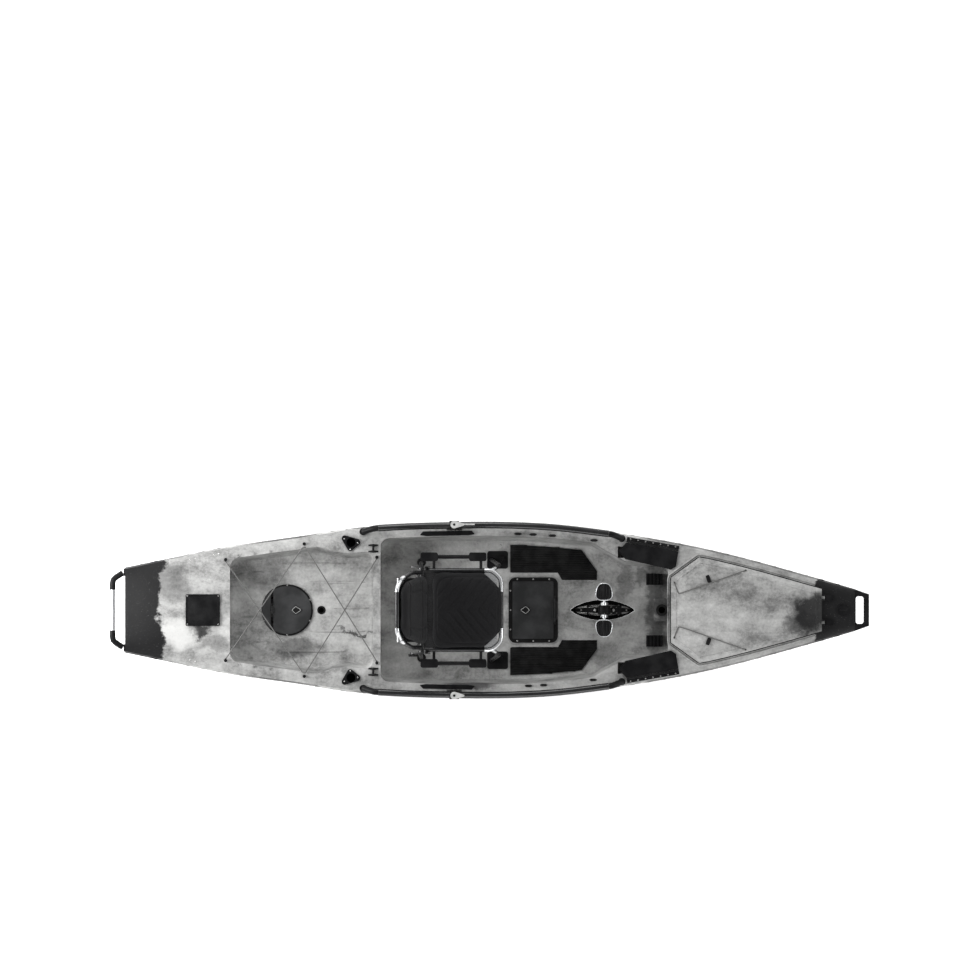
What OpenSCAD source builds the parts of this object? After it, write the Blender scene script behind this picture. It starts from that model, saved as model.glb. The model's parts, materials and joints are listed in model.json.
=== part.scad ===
// Sit-on-top pedal kayak: rotomoulded hull, framed seat, fin drive, rudder and hatches.
// X runs to the bow, Y to port and Z up, from the keel amidships.

/* [Hull] */
// Length of the moulded hull, without its handles
hull_len = 4000; // [3300:10:4800]
// Widest beam of the hull
beam = 954; // [780:2:1150]
// Height of the side above the keel amidships
hull_depth = 362; // [300:1:430]
// Thickness of the moulded wall
wall = 4.5; // [3.5:0.5:7]
// Width of the side deck beside the cockpit and the well
side_deck = 70; // [50:1:95]

/* [Recesses] */
// Height of the cockpit floor above the keel
cockpit_floor = 125; // [95:1:160]
// Height of the cargo well's floor above the keel
well_floor = 225; // [190:1:260]
// Deck from the transom to the cargo well
stern_deck = 575; // [450:5:650]
// Deck from the bow hatch's opening to the stem
bow_deck = 230; // [190:5:300]
// Half width of the drive well
drive_well_w = 57; // [50:1:66]

/* [Hatches] */
// Clear radius of the round hatch
round_hatch_r = 112; // [90:1:125]
// Length of the rectangular hatch's opening
bay_hatch_l = 208; // [160:2:240]
// Width of the rectangular hatch's opening
bay_hatch_w = 296; // [230:2:320]
// Thickness of the hatch lids
lid_t = 8; // [5:0.5:12]
// Gap between a lid and what it closes on
lid_gap = 0.5; // [0.3:0.1:2]

/* [Seat] */
// Height of the seat pan's frame above the keel
seat_z = 480; // [430:2:540]
// Width of the seat
seat_w = 460; // [380:2:520]
// Length of the seat pan
seat_l = 400; // [340:2:440]
// Length of the back rest
back_l = 365; // [300:2:420]
// Lean of the back rest from upright, in degrees
back_lean = 23; // [12:1:35]
// Radius of the seat's tubes
seat_tube_r = 13; // [10:0.5:16]

/* [Rails and holders] */
// Radius of the side rails
rail_r = 19; // [14:0.5:24]
// Height of the side rail above the side deck
rail_rise = 57; // [45:1:75]
// Bore radius of the rod holders
rod_bore = 25; // [20:0.5:30]
// Depth of the rod holders
rod_depth = 160; // [120:5:185]
// Bore radius of the mast receiver
mast_bore = 18; // [14:0.5:24]

/* [Drive and steering] */
// Length of the pedal cranks
crank_l = 330; // [280:5:350]
// Length of the fins below the drive
fin_l = 285; // [220:5:340]
// Width of the fins
fin_w = 85; // [65:1:100]
// Radius of the fin masts
mast_r = 6; // [5:0.5:8]
// Radius of the crank spindle
spindle_r = 9; // [7:0.5:12]
// Radius of the rudder's shaft
rudder_r = 11; // [8:0.5:14]
// Running clearance on the radius of shafts and pins
run = 0.08; // [0.02:0.01:0.1]
// Clear gap between pieces that move past each other
gap = 1.5; // [0.5:0.1:3]

/* [Hidden] */

$fn = 48;
hull_half = hull_len / 2;
stations = 46; // rings of the hull's surface
far = 700; // above everything a recess cuts

// The hull's lines, as [share of the half length, share of the size]
beam_shape = [
    [-1, 0.49], [-0.9, 0.577], [-0.72, 0.73], [-0.52, 0.85], [-0.35, 0.954], [-0.09, 1],
    [0.14, 0.985], [0.33, 0.897], [0.52, 0.765], [0.685, 0.61], [0.88, 0.386], [1, 0.241]
];
keel_shape = [
    [-1, 0.64], [-0.94, 0.577], [-0.8, 0.403], [-0.6, 0.193], [-0.486, 0.108], [-0.3, 0.03],
    [-0.2, 0], [0.08, 0], [0.244, 0.069], [0.411, 0.117], [0.765, 0.119], [0.92, 0.16],
    [0.945, 0.215], [0.96, 0.315], [0.978, 0.566], [1, 0.84]
];
rim_shape = [
    [-1, 0.95], [-0.88, 0.97], [-0.43, 0.986], [-0.24, 1], [0.08, 1], [0.35, 0.972],
    [0.54, 0.98], [0.9, 1.005], [1, 1.015]
];
crown_shape = [
    [-1, 0.03], [-0.9, 0.115], [-0.73, 0.13], [-0.65, 0.07], [-0.5, 0.02], [0.4, 0.02],
    [0.9, 0.02], [1, 0.01]
];
// How rounded the bottom is, from boxy to a plain vee
round_shape = [[-1, 0.75], [-0.6, 0.6], [0, 0.5], [0.4, 0.6], [0.8, 0.95], [1, 1]];
chine_power = 0.9;
keel_flat = 0.09; // flat strip along the keel, as a share of the half beam
rim_drop = 40; // from the side deck to the widest line
rim_round = 28;

// A smooth curve through a list of [place, value], with the slope of each point's neighbours
function span(x, p, i = 0) = (i >= len(p) - 2 || x < p[i + 1][0]) ? i : span(x, p, i + 1);
function rise(p, i) =
    let(a = max(i - 1, 0), b = min(i + 1, len(p) - 1)) (p[b][1] - p[a][1]) / (p[b][0] - p[a][0]);
function curve(x, p) =
    let(i = span(x, p), h = p[i + 1][0] - p[i][0], t = (x - p[i][0]) / h)
    (2 * t^3 - 3 * t^2 + 1) * p[i][1] + (t^3 - 2 * t^2 + t) * h * rise(p, i)
    + (3 * t^2 - 2 * t^3) * p[i + 1][1] + (t^3 - t^2) * h * rise(p, i + 1);

function half_beam(x) = beam / 2 * curve(x / hull_half, beam_shape);
function keel_z(x) = hull_depth * max(curve(x / hull_half, keel_shape), 0);
function rim_z(x) = hull_depth * curve(x / hull_half, rim_shape);
function crown(x) = hull_depth * curve(x / hull_half, crown_shape);
// Height of the deck's flat facets, the same as hull_ring's
function deck_z(x, y) =
    let(f = abs(y) / half_beam(x), c = crown(x), edge = 1 - rim_round / half_beam(x))
    rim_z(x) + (
        f < 0.4 ? c * (1 - 0.4 * f)
        : f < 0.7 ? mix(0.84 * c, 0.51 * c, (f - 0.4) / 0.3)
        : mix(0.51 * c, 0, min((f - 0.7) / (edge - 0.7), 1))
    );
function mix(a, b, t) = a + (b - a) * t;

// Closed skin over rings of points, each ring anticlockwise as seen from the far end
module skin(rings) {
    m = len(rings[0]);
    n = len(rings);
    sides = [
        for (i = [0:n - 2], j = [0:m - 1])
            [i * m + j, (i + 1) * m + j, (i + 1) * m + (j + 1) % m, i * m + (j + 1) % m]
    ];
    first = [[for (j = [0:m - 1]) j]];
    last = [[for (j = [m - 1:-1:0]) (n - 1) * m + j]];
    polyhedron([for (r = rings) each r], concat(first, sides, last), convexity = 8);
}

// Both sides of a ring from its port half, listed from keel to top
function both_sides(x, half) = concat(
    [for (p = half) [x, p[0], p[1]]],
    [for (i = [len(half) - 1:-1:0]) if (half[i][0] > 0.01) [x, -half[i][0], half[i][1]]]
);

function unit(v) = v / norm(v);
// Round tube along a list of points
module sweep(path, r, sides = 8) {
    last = len(path) - 1;
    skin([
        for (i = [0:last])
            let(
                t = unit(path[min(i + 1, last)] - path[max(i - 1, 0)]),
                up = abs(t[2]) > 0.8 ? [1, 0, 0] : [0, 0, 1],
                a = unit(cross(up, t)),
                b = cross(t, a)
            )
            [for (j = [0:sides - 1]) path[i] + r * (a * cos(360 * j / sides) + b * sin(360 * j / sides))]
    ]);
}

// Straight rod between two points
module rod(p, q, r) {
    v = q - p;
    translate(p)
        rotate([0, acos(v[2] / norm(v)), atan2(v[1], v[0])])
            cylinder(r = r, h = norm(v));
}

// Bent tube through a list of corners, each turned over a length d on either side
function eased(points, d) = [
    for (i = [0:len(points) - 1])
        let(p = points[i])
        if (i == 0 || i == len(points) - 1) p
        else
            let(a = p + d * unit(points[i - 1] - p), b = p + d * unit(points[i + 1] - p))
            each [a, (a + b) / 4 + p / 2, b]
];
module bent(points, r, d = 0) {
    sweep(eased(points, d > 0 ? d : 1.6 * r), r, 12);
}

module port_and_starboard() {
    children();
    mirror([0, 1, 0]) children();
}

// Flat plate with round corners, its lowest face at z = 0
module round_plate(x0, x1, y0, y1, t, r) {
    linear_extrude(t)
        rounded(x0, x1, y0, y1, r);
}

module rounded(x0, x1, y0, y1, r) {
    translate([x0 + r, y0]) square([x1 - x0 - 2 * r, y1 - y0]);
    translate([x0, y0 + r]) square([x1 - x0, y1 - y0 - 2 * r]);
    for (x = [x0 + r, x1 - r], y = [y0 + r, y1 - r]) translate([x, y]) circle(r = r);
}

// ---- Hull ----

function hull_ring(x, inset) =
    let(
        b = half_beam(x) - inset,
        k = keel_z(x) + inset * 1.2,
        top = rim_z(x) - inset,
        wide = top - min(rim_drop, (top - k) * 0.4),
        a = curve(x / hull_half, round_shape),
        c = crown(x)
    )
    both_sides(x, concat(
        [[0, k], [keel_flat * b, k]],
        [
            for (t = [11.25:11.25:90])
                [b * pow(sin(t), a), wide - (wide - k) * pow(max(cos(t), 0), chine_power)]
        ],
        [[b - 9, mix(wide, top, 0.68)], [b - rim_round, top]],
        [for (f = [0.7, 0.4]) [f * b, top + c * (1 - f * f)]],
        [[0, top + c]]
    ));

module hull_solid(inset, x0, x1) {
    skin([for (i = [0:stations]) hull_ring(mix(x0, x1, i / stations), inset)]);
}

corner_r = 45; // plan corners of the recesses
cove_r = 24; // where a recess's wall meets its floor
draft = 22; // a recess is narrower at its floor by this on each side

function tub_places(x0, x1, r) = concat(
    [for (k = [0:4]) x0 + r * (1 - cos(22.5 * k))],
    [for (k = [1:7]) mix(x0 + r, x1 - r, k / 8)],
    [for (k = [4:-1:0]) x1 - r * (1 - cos(22.5 * k))]
);

// Open recess from z up, its half width given by a function of x
module tub(x0, x1, z, half, grow = 0, slope = draft) {
    r = corner_r + grow;
    skin([
        for (x = tub_places(x0 - grow, x1 + grow, r))
            let(
                d = min(x - x0 + grow, x1 + grow - x, r),
                w = half(x) + grow - r + sqrt(max(r^2 - (r - d)^2, 0)),
                f = w - slope
            )
            both_sides(x, [
                [f - cove_r, z - grow], [f - cove_r * 0.3, z - grow + cove_r * 0.3],
                [f, z - grow + cove_r], [w, rim_z(x) + 2 * wall], [w, far]
            ])
    ]);
}

// Cargo well
well_x0 = -hull_half + stern_deck;
well_x1 = -640;
holder_deck = 135; // side deck beside the rod holders
function well_half(x) =
    half_beam(x) - mix(side_deck, holder_deck, min(max((x - well_x1 + 255) / 55, 0), 1));
module well(grow = 0) {
    tub(well_x0, well_x1, well_floor, function(x) well_half(x), grow);
}

// Cockpit, narrower between the rod lockers
cockpit_x0 = -600;
cockpit_x1 = 975;
locker_in = 268; // from the centreline to the rod lockers
function cockpit_half(x) =
    let(wide = half_beam(x) - side_deck, t = min(max((x - 640) / 60, 0), 1))
    mix(wide, min(locker_in, wide), t);
module cockpit(grow = 0) {
    tub(cockpit_x0, cockpit_x1, cockpit_floor, function(x) cockpit_half(x), grow);
}

// Rod lockers under the side covers
locker_x0 = 700;
locker_x1 = 1015;
locker_depth = 95;
function locker_out(x) = half_beam(x) - 42;
module locker(grow = 0) {
    x = [locker_x0 - grow, locker_x1 + grow];
    skin([
        for (p = x)
            let(
                low = rim_z(p) - locker_depth - grow,
                a = locker_in + 18 - grow,
                b = locker_out(p) - 30 + grow
            )
            [[p, a, low], [p, b, low], [p, b, far], [p, a, far]]
    ]);
}

// Bow hatch: its lid, and the opening and coaming under it
lid_x0 = 992;
lid_x1 = hull_half - bow_deck + 48;
bow_x0 = lid_x0 + 40;
bow_x1 = lid_x1 - 48;
lid_skirt = 6;
lid_overlap = 22; // from the opening out to the lid's edge
coaming_h = 16;
function lid_half(x) = min(half_beam(x) - 52, 178 + (x - lid_x0) * 0.72);
function bow_half(x) = lid_half(x) - lid_overlap;
module bow_opening(grow = 0) {
    tub(bow_x0, bow_x1, rim_z(bow_x0) - 40, function(x) bow_half(x), grow, 0);
}

// Drive well: a pointed oval right through the hull
drive_x0 = 440;
drive_x1 = 792;
drive_mid = (drive_x0 + drive_x1) / 2;
module drive_well(grow = 0) {
    n = 16;
    skin([
        for (i = [0:n])
            let(
                t = i / n,
                x = mix(drive_x0 - grow, drive_x1 + grow, t),
                w = grow + 3 + (drive_well_w - 3) * pow(sin(180 * t), 0.75)
            )
            [[x, w, -50], [x, w, far], [x, -w, far], [x, -w, -50]]
    ]);
}

// Slot for the centreboard
board_x = -1010;
board_z = 104;
board_t = 14;
slot_x0 = -1345;
slot_x1 = -930;
slot_top = 180;
module board_slot(grow = 0) {
    w = board_t / 2 + gap + grow;
    translate([slot_x0 - grow, -w, -50])
        cube([slot_x1 - slot_x0 + 2 * grow, 2 * w, slot_top + 50 + grow]);
}

// Places of the round fittings that pass through the hull
round_x = well_x0 + 314;
drain_x = well_x1 - 284;
drain_r = 15;
rod_x = -762;
function rod_y() = half_beam(rod_x) - 78;
rod_wall = 4;
mast_x = 942;
mast_out = mast_bore + 5;
mast_z = 300;
mast_depth = 150;
rudder_x = -1530;
tube_out = rudder_r + 6;
bay_x = 237;
plug_x = hull_half - 64;
plug_r = 24;

module column(x, y, z0, z1, r) {
    translate([x, y, z0]) cylinder(r = r, h = z1 - z0, $fn = 32);
}

// Mast step: a raised block on the bulkhead that carries the receiver
step_w = 62;
module mast_step(inset = 0) {
    translate([mast_x - 45 + inset, -step_w + inset, cockpit_floor - 50])
        cube([cockpit_x1 - mast_x + 60 - 2 * inset, 2 * (step_w - inset), mast_z - cockpit_floor + 50 - inset]);
}

module hull_shell() {
    color("gray")
        resize([0, 0, 0])
            difference() {
                union() {
                    difference() {
                        hull_solid(0, -hull_half, hull_half);
                        hull_solid(wall, -hull_half + 14, hull_half - 75);
                    }
                    intersection() {
                        hull_solid(0, -hull_half, hull_half);
                        union() {
                            difference() {
                                union() {
                                    well(wall);
                                    cockpit(wall);
                                    port_and_starboard() locker(wall);
                                    drive_well(wall);
                                    board_slot(wall);
                                }
                                well();
                                cockpit();
                                port_and_starboard() locker();
                            }
                            column(rudder_x, 0, 0, far, tube_out + wall);
                            column(drain_x, 0, 0, well_floor, drain_r + 3 + wall);
                            mast_step();
                        }
                    }
                    intersection() {
                        bow_opening(wall);
                        coaming_block();
                    }
                }
                well();
                difference() {
                    cockpit();
                    mast_step();
                }
                port_and_starboard() locker();
                drive_well();
                board_slot();
                bow_opening();
                mast_step(wall);
                column(round_x, 0, well_floor - 12, far, round_hatch_r + 3);
                column(drain_x, 0, -50, well_floor + 50, drain_r + 3 + lid_gap);
                column(rudder_x, 0, -50, far, tube_out + lid_gap);
                column(mast_x, 0, mast_z - mast_depth - lid_gap, far, mast_out + lid_gap);
                column(plug_x, 0, 250, far, plug_r + lid_gap);
                port_and_starboard() {
                    column(rod_x, rod_y(), rim_z(rod_x) - rod_depth - 8, far, rod_bore + rod_wall + lid_gap);
                }
                translate([bay_x - bay_hatch_l / 2 - 2, -bay_hatch_w / 2 - 2, cockpit_floor - 30])
                    cube([bay_hatch_l + 4, bay_hatch_w + 4, 60]);
            }
}

// What the coaming may fill: from inside the deck to its lip
module coaming_block() {
    skin([
        for (i = [0:8])
            let(x = mix(bow_x0 - 30, bow_x1 + 30, i / 8), w = half_beam(x))
            [
                [x, -w, rim_z(x) - 24], [x, w, rim_z(x) - 24],
                [x, w, rim_z(x) + coaming_h], [x, -w, rim_z(x) + coaming_h]
            ]
    ]);
}

// ---- Handles and small deck fittings ----

handle_r = 16;
grip_half = 112;
handle_x = -hull_half - 68;
handle_z = 0.9 * hull_depth;
module stern_handle_arms() {
    root_y = half_beam(-hull_half) - 22;
    color("black")
        port_and_starboard() {
            bent([
                [-hull_half - 13, root_y - 8, handle_z - 9], [handle_x, root_y - 44, handle_z],
                [handle_x, grip_half, handle_z]
            ], handle_r, 20);
            translate([-hull_half - 8, root_y - 4, handle_z - 12])
                rotate([0, 90, 0]) cylinder(r = handle_r + 5, h = 8);
        }
}

module stern_grip() {
    color("silver")
        translate([handle_x, -grip_half, handle_z])
            rotate([-90, 0, 0]) cylinder(r = handle_r - 3, h = 2 * grip_half);
}

bow_grip_x = hull_half + 77;
module bow_handle() {
    w = half_beam(hull_half) - 1;
    top = rim_z(hull_half) - 3;
    color("black")
        translate([0, 0, top - 26])
            linear_extrude(26)
                difference() {
                    polygon([
                        [hull_half, -w], [bow_grip_x, -0.76 * w], [bow_grip_x, 0.76 * w], [hull_half, w]
                    ]);
                    rounded(hull_half + 4, bow_grip_x - 30, -0.66 * w, 0.66 * w, 14);
                }
}

function plug_z() = deck_z(plug_x, 0) + 3;
module bow_plug() {
    color("black") {
        translate([plug_x, 0, plug_z()]) cylinder(r = plug_r + 9, h = 6);
        translate([plug_x, 0, plug_z() - 18]) cylinder(r = plug_r, h = 18.5);
        translate([plug_x - 18, -3, plug_z() + 6]) cube([36, 6, 8]);
    }
}

// ---- Rudder ----

cover_x0 = rudder_x - 138;
cover_x1 = rudder_x + 50;
cover_y = 87;
cover_t = 5;
function cover_z() =
    max(deck_z(cover_x0, 0), deck_z(rudder_x, 0), deck_z(cover_x1, 0)) + lid_gap;
module rudder_cover() {
    color("black") {
        translate([0, 0, cover_z()]) round_plate(cover_x0, cover_x1, -cover_y, cover_y, cover_t, 8);
        translate([0, 0, cover_z() + cover_t - 0.5])
            hull() {
                translate([cover_x0 + 16, -cover_y + 16, 0])
                    cube([cover_x1 - cover_x0 - 32, 2 * cover_y - 32, 1]);
                translate([rudder_x - 62, -10, 0]) cube([44, 20, 16]);
            }
    }
}

function rudder_keel() = keel_z(rudder_x);
tube_top = 8; // from the rudder tube's end up to the cover
module rudder_tube() {
    z0 = rudder_keel() + 1;
    z1 = cover_z() - tube_top;
    color("dimgray")
        translate([rudder_x, 0, z0])
            difference() {
                cylinder(r = tube_out, h = z1 - z0);
                translate([0, 0, -1]) cylinder(r = rudder_r + run, h = z1 - z0 + 2);
            }
}

blade_t = 12;
kick_r = 6; // radius of the pin that the blade kicks up on
kick_drop = 50; // from the keel down to that pin
fork_drop = 4; // the fork's top over its pin, low enough to stay clear of the keel as the blade turns
module rudder_shaft() {
    k = rudder_keel();
    color("dimgray") {
        translate([rudder_x, 0, k - 20]) cylinder(r = rudder_r, h = cover_z() - tube_top / 2 - k + 20);
        difference() {
            translate([rudder_x - 30, -21, k - kick_drop - 18]) cube([60, 42, kick_drop + fork_drop]);
            translate([rudder_x - 31, -blade_t / 2 - lid_gap, k - kick_drop - 19])
                cube([62, blade_t + 2 * lid_gap, kick_drop - 2]);
        }
        translate([rudder_x, -18, k - kick_drop]) rotate([-90, 0, 0]) cylinder(r = kick_r, h = 36);
    }
}

module rudder_blade() {
    k = rudder_keel() - kick_drop;
    color("black")
        translate([rudder_x, blade_t / 2, k])
            rotate([90, 0, 0])
                linear_extrude(blade_t)
                    difference() {
                        polygon([
                            [-20, 12], [20, 14], [60, 2], [80, -12], [36, -100], [12, -128],
                            [-66, -128], [-86, -110], [-76, -40], [-56, -14]
                        ]);
                        circle(r = kick_r + run);
                    }
}

// ---- Centreboard ----

board_pin_r = 6;
module board_pin() {
    color("silver")
        translate([board_x, -board_t / 2 - gap + 0.1, board_z])
            rotate([-90, 0, 0]) cylinder(r = board_pin_r, h = board_t + 2 * gap - 0.2);
}

module centreboard() {
    color("black")
        translate([board_x, board_t / 2, board_z])
            rotate([90, 0, 0])
                linear_extrude(board_t)
                    difference() {
                        polygon([
                            [35, -4], [42, -54], [-120, -158], [-252, -239], [-290, -259], [-355, -256],
                            [-378, -236], [-300, -130], [-205, -24], [-180, 4], [-60, 20], [0, 21], [28, 12]
                        ]);
                        circle(r = board_pin_r + run);
                    }
}

// ---- Hinges and latches ----

hinge_r = 5.5;
pin_r = 3;

// Fixed lug of a hinge along Y, standing on a surface at base
module lug(x, z, y0, y1, base) {
    difference() {
        union() {
            translate([x, y0, z]) rotate([-90, 0, 0]) cylinder(r = hinge_r, h = y1 - y0);
            translate([x - hinge_r, y0, base]) cube([2 * hinge_r, y1 - y0, z - base]);
        }
        translate([x, y0 - 1, z]) rotate([-90, 0, 0]) cylinder(r = pin_r + run, h = y1 - y0 + 2);
    }
}

// Moving barrel and pin of a hinge along Y
module barrel(x, z, w, reach) {
    translate([x, -w, z]) rotate([-90, 0, 0]) cylinder(r = hinge_r, h = 2 * w);
    translate([x, -w - reach, z]) rotate([-90, 0, 0]) cylinder(r = pin_r, h = 2 * (w + reach));
}

// Twist latch: a diamond plate on a round stem
latch_r = 9;
latch_t = 6;
module latch(x, y, z, drop, turn) {
    translate([x, y, z]) {
        rotate(turn)
            linear_extrude(latch_t)
                union() {
                    polygon([[-30, -5], [-17, -7], [0, -24], [24, 0], [0, 24], [-17, 7], [-30, 5]]);
                    circle(r = 18);
                }
        translate([0, 0, -drop]) cylinder(r = latch_r, h = drop + 1);
        translate([0, 0, -drop - 5]) linear_extrude(5) rotate(turn) rounded(-11, 28, -9, 9, 4);
    }
}

// ---- Round hatch ----

ring_t = 8;
ring_r = round_hatch_r + 29;
round_hinge_x = round_x - 0.74 * round_hatch_r;
round_hinge_w = 20;
hinge_rise = 6.5; // from the surface a hinge stands on up to its pin
round_latch_x = round_x + 46;
module round_hatch_ring() {
    z = well_floor;
    color("black") {
        difference() {
            union() {
                translate([round_x, 0, z]) cylinder(r = ring_r, h = ring_t);
                translate([round_x, 0, z - 9]) cylinder(r = round_hatch_r + 1.5, h = 10);
            }
            translate([round_x, 0, z - 10]) cylinder(r = round_hatch_r - 3, h = ring_t + 20);
        }
        difference() {
            translate([round_hinge_x - 25, -60, z]) cube([25 + hinge_r, 120, ring_t]);
            translate([round_hinge_x - 14, -16, z - 1]) cube([8, 32, 4]);
        }
        for (s = [-1, 1])
            lug(round_hinge_x, z + ring_t + hinge_rise, s > 0 ? round_hinge_w + 1 : -round_hinge_w - 19,
                s > 0 ? round_hinge_w + 19 : -round_hinge_w - 1, z + ring_t - 1);
    }
}

module round_hatch_lid() {
    z = well_floor + ring_t + lid_gap;
    color("dimgray")
        difference() {
            union() {
                intersection() {
                    translate([round_x, 0, z]) cylinder(r = ring_r - 9, h = lid_t);
                    translate([round_hinge_x + hinge_r + gap, -ring_r, z]) cube([2 * ring_r, 2 * ring_r, lid_t]);
                }
                translate([round_hinge_x, -round_hinge_w, z + 1])
                    cube([hinge_r + 2 * gap + 1, 2 * round_hinge_w, lid_t - 1]);
                barrel(round_hinge_x, well_floor + ring_t + hinge_rise, round_hinge_w, 18);
            }
            translate([round_latch_x, 0, z - 1]) cylinder(r = latch_r + run, h = lid_t + 2);
        }
}

module round_hatch_latch() {
    color("silver")
        latch(round_latch_x, 0, well_floor + ring_t + lid_gap + lid_t + 0.3, lid_t + 0.6, 180);
}

// ---- Rectangular hatch ----

frame_edge = 31;
bay_hinge_x = bay_x + bay_hatch_l / 2 + 14;
bay_hinge_w = 60;
bay_latch_x = bay_x - 40;
module bay_hatch_frame() {
    z = cockpit_floor;
    l = bay_hatch_l / 2;
    w = bay_hatch_w / 2;
    color("black") {
        difference() {
            union() {
                translate([0, 0, z])
                    round_plate(bay_x - l - frame_edge, bay_x + l + frame_edge, -w - frame_edge, w + frame_edge,
                        ring_t, 38);
                translate([0, 0, z - 9]) round_plate(bay_x - l - 1, bay_x + l + 1, -w - 1, w + 1, 10, 4);
            }
            translate([0, 0, z - 10]) round_plate(bay_x - l + 3, bay_x + l - 3, -w + 3, w - 3, ring_t + 20, 20);
        }
        for (s = [-1, 1])
            lug(bay_hinge_x, z + ring_t + hinge_rise, s > 0 ? bay_hinge_w + 1 : -bay_hinge_w - 19,
                s > 0 ? bay_hinge_w + 19 : -bay_hinge_w - 1, z + ring_t - 1);
    }
}

module bay_hatch_lid() {
    z = cockpit_floor + ring_t + lid_gap;
    l = bay_hatch_l / 2;
    w = bay_hatch_w / 2 + 10;
    color("dimgray")
        difference() {
            union() {
                translate([0, 0, z])
                    round_plate(bay_x - l - 10, bay_hinge_x - hinge_r - gap, -w, w, lid_t, 6);
                translate([bay_hinge_x - hinge_r - gap - 3, -bay_hinge_w, z + 1])
                    cube([hinge_r + gap + 3, 2 * bay_hinge_w, lid_t - 1]);
                barrel(bay_hinge_x, cockpit_floor + ring_t + hinge_rise, bay_hinge_w, 18);
            }
            translate([bay_latch_x, 0, z - 1]) cylinder(r = latch_r + run, h = lid_t + 2);
        }
}

module bay_hatch_latch() {
    color("silver")
        latch(bay_latch_x, 0, cockpit_floor + ring_t + lid_gap + lid_t + 0.3, lid_t + 0.6, 0);
}

// ---- Bow hatch ----

bow_pin_r = 5;
bow_hinge_y = 68;
bow_hinge_x = lid_x1 + 9;
function bow_hinge_z() = deck_z(bow_hinge_x, bow_hinge_y) + 16;
lid_rise = 8; // from the side deck to the lid's lower edge
lid_edge = 24; // height of the lid's side
lid_crown_shape = [
    [lid_x0, 44], [lid_x0 + 50, 78], [0.6 * hull_half, 86], [0.745 * hull_half, 82],
    [0.835 * hull_half, 60], [lid_x1 - 25, 36], [lid_x1, 26]
];
function lid_top(x) = rim_z(x) + curve(x, lid_crown_shape);
function lid_ring(x, inset) =
    let(
        w = lid_half(x) - inset,
        base = rim_z(x) + lid_rise - (inset > 0 ? 3 : 0),
        top = lid_top(x) - inset,
        edge = min(rim_z(x) + lid_rise + lid_edge, lid_top(x)) - inset
    )
    both_sides(x, [[w, base], [w, edge], [0.86 * w, mix(edge, top, 0.72)], [0.5 * w, top - 2], [0, top]]);

module bow_lid_solid(inset) {
    skin([for (i = [0:16]) lid_ring(mix(lid_x0 + inset, lid_x1 - inset, i / 16), inset)]);
}

module bow_hatch_lid() {
    z = bow_hinge_z();
    color("lightgray")
        resize([0, 0, 0])
            union() {
                difference() {
                    bow_lid_solid(0);
                    bow_lid_solid(lid_skirt);
                }
                port_and_starboard() {
                    translate([lid_x1 - 5, bow_hinge_y - 7, z - 8]) cube([bow_hinge_x - lid_x1 + 5, 14, 16]);
                    translate([bow_hinge_x, bow_hinge_y - 7, z]) rotate([-90, 0, 0]) cylinder(r = 8, h = 14);
                    translate([bow_hinge_x, bow_hinge_y - 16, z])
                        rotate([-90, 0, 0]) cylinder(r = bow_pin_r, h = 32);
                }
            }
}

module bow_hatch_hinge() {
    z = bow_hinge_z();
    base = deck_z(bow_hinge_x, bow_hinge_y) + 1;
    color("black")
        port_and_starboard()
            difference() {
                union() {
                    for (y = [bow_hinge_y - 16.5, bow_hinge_y + 8]) {
                        translate([bow_hinge_x, y, z]) rotate([-90, 0, 0]) cylinder(r = 8, h = 8.5);
                        translate([bow_hinge_x - 7, y, base]) cube([60, 8.5, z - base]);
                    }
                    translate([bow_hinge_x + 14, bow_hinge_y - 16.5, base]) cube([39, 33, z - base]);
                }
                translate([bow_hinge_x, bow_hinge_y - 20, z])
                    rotate([-90, 0, 0]) cylinder(r = bow_pin_r + run, h = 40);
            }
}

function lid_z(x, y) =
    let(
        w = lid_half(x),
        edge = rim_z(x) + lid_rise + lid_edge,
        top = lid_top(x),
        f = min(abs(y) / w, 1)
    )
    f < 0.5 ? mix(top, top - 2, f / 0.5)
    : f < 0.86 ? mix(top - 2, mix(edge, top, 0.72), (f - 0.5) / 0.36)
    : mix(mix(edge, top, 0.72), edge, (f - 0.86) / 0.14);

cord_r = 3;
// Hand-set plan points of one hatch cord, from its hook to its end
hatch_cord = [[1010, 150], [1031, 88], [1150, 129], [1280, 175], [1400, 218]];
module bow_hatch_cords() {
    lift = cord_r + 1.6;
    color("black")
        port_and_starboard() {
            sweep([
                for (i = [0:len(hatch_cord) - 2], t = [0:0.25:0.99])
                    let(p = mix(hatch_cord[i], hatch_cord[i + 1], t)) [p[0], p[1], lid_z(p[0], p[1]) + lift],
                [1400, 218, lid_z(1400, 218) + lift]
            ], cord_r);
            translate([1197, 178, lid_z(1190, 160) + 0.4]) rotate(20) translate([-10, -20, 0]) cube([20, 40, 8]);
        }
}

// ---- Rod lockers' covers ----

cover_len = 290;
cover_w = 112;
plate_t = 5;
cover_hinge_x = 748;
cover_inset = 38; // from the gunwale to the hinge
function cover_hinge_y() = half_beam(cover_hinge_x) - cover_inset;
function cover_turn() =
    atan2(half_beam(cover_hinge_x + cover_len) - half_beam(cover_hinge_x), cover_len);
function cover_pitch() = atan2(rim_z(cover_hinge_x + cover_len) - rim_z(cover_hinge_x), cover_len);
function cover_hinge_z() = deck_z(cover_hinge_x, cover_hinge_y()) + hinge_rise + 0.4;
knuckles = 5;

module at_cover() {
    translate([cover_hinge_x, cover_hinge_y(), cover_hinge_z()]) rotate([0, -cover_pitch(), cover_turn()])
        children();
}

module knuckle_row(first, r) {
    for (k = [first:2:knuckles - 1])
        translate([k * cover_len / knuckles + 0.5, 0, 0])
            rotate([0, 90, 0]) cylinder(r = r, h = cover_len / knuckles - 1);
}

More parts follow.
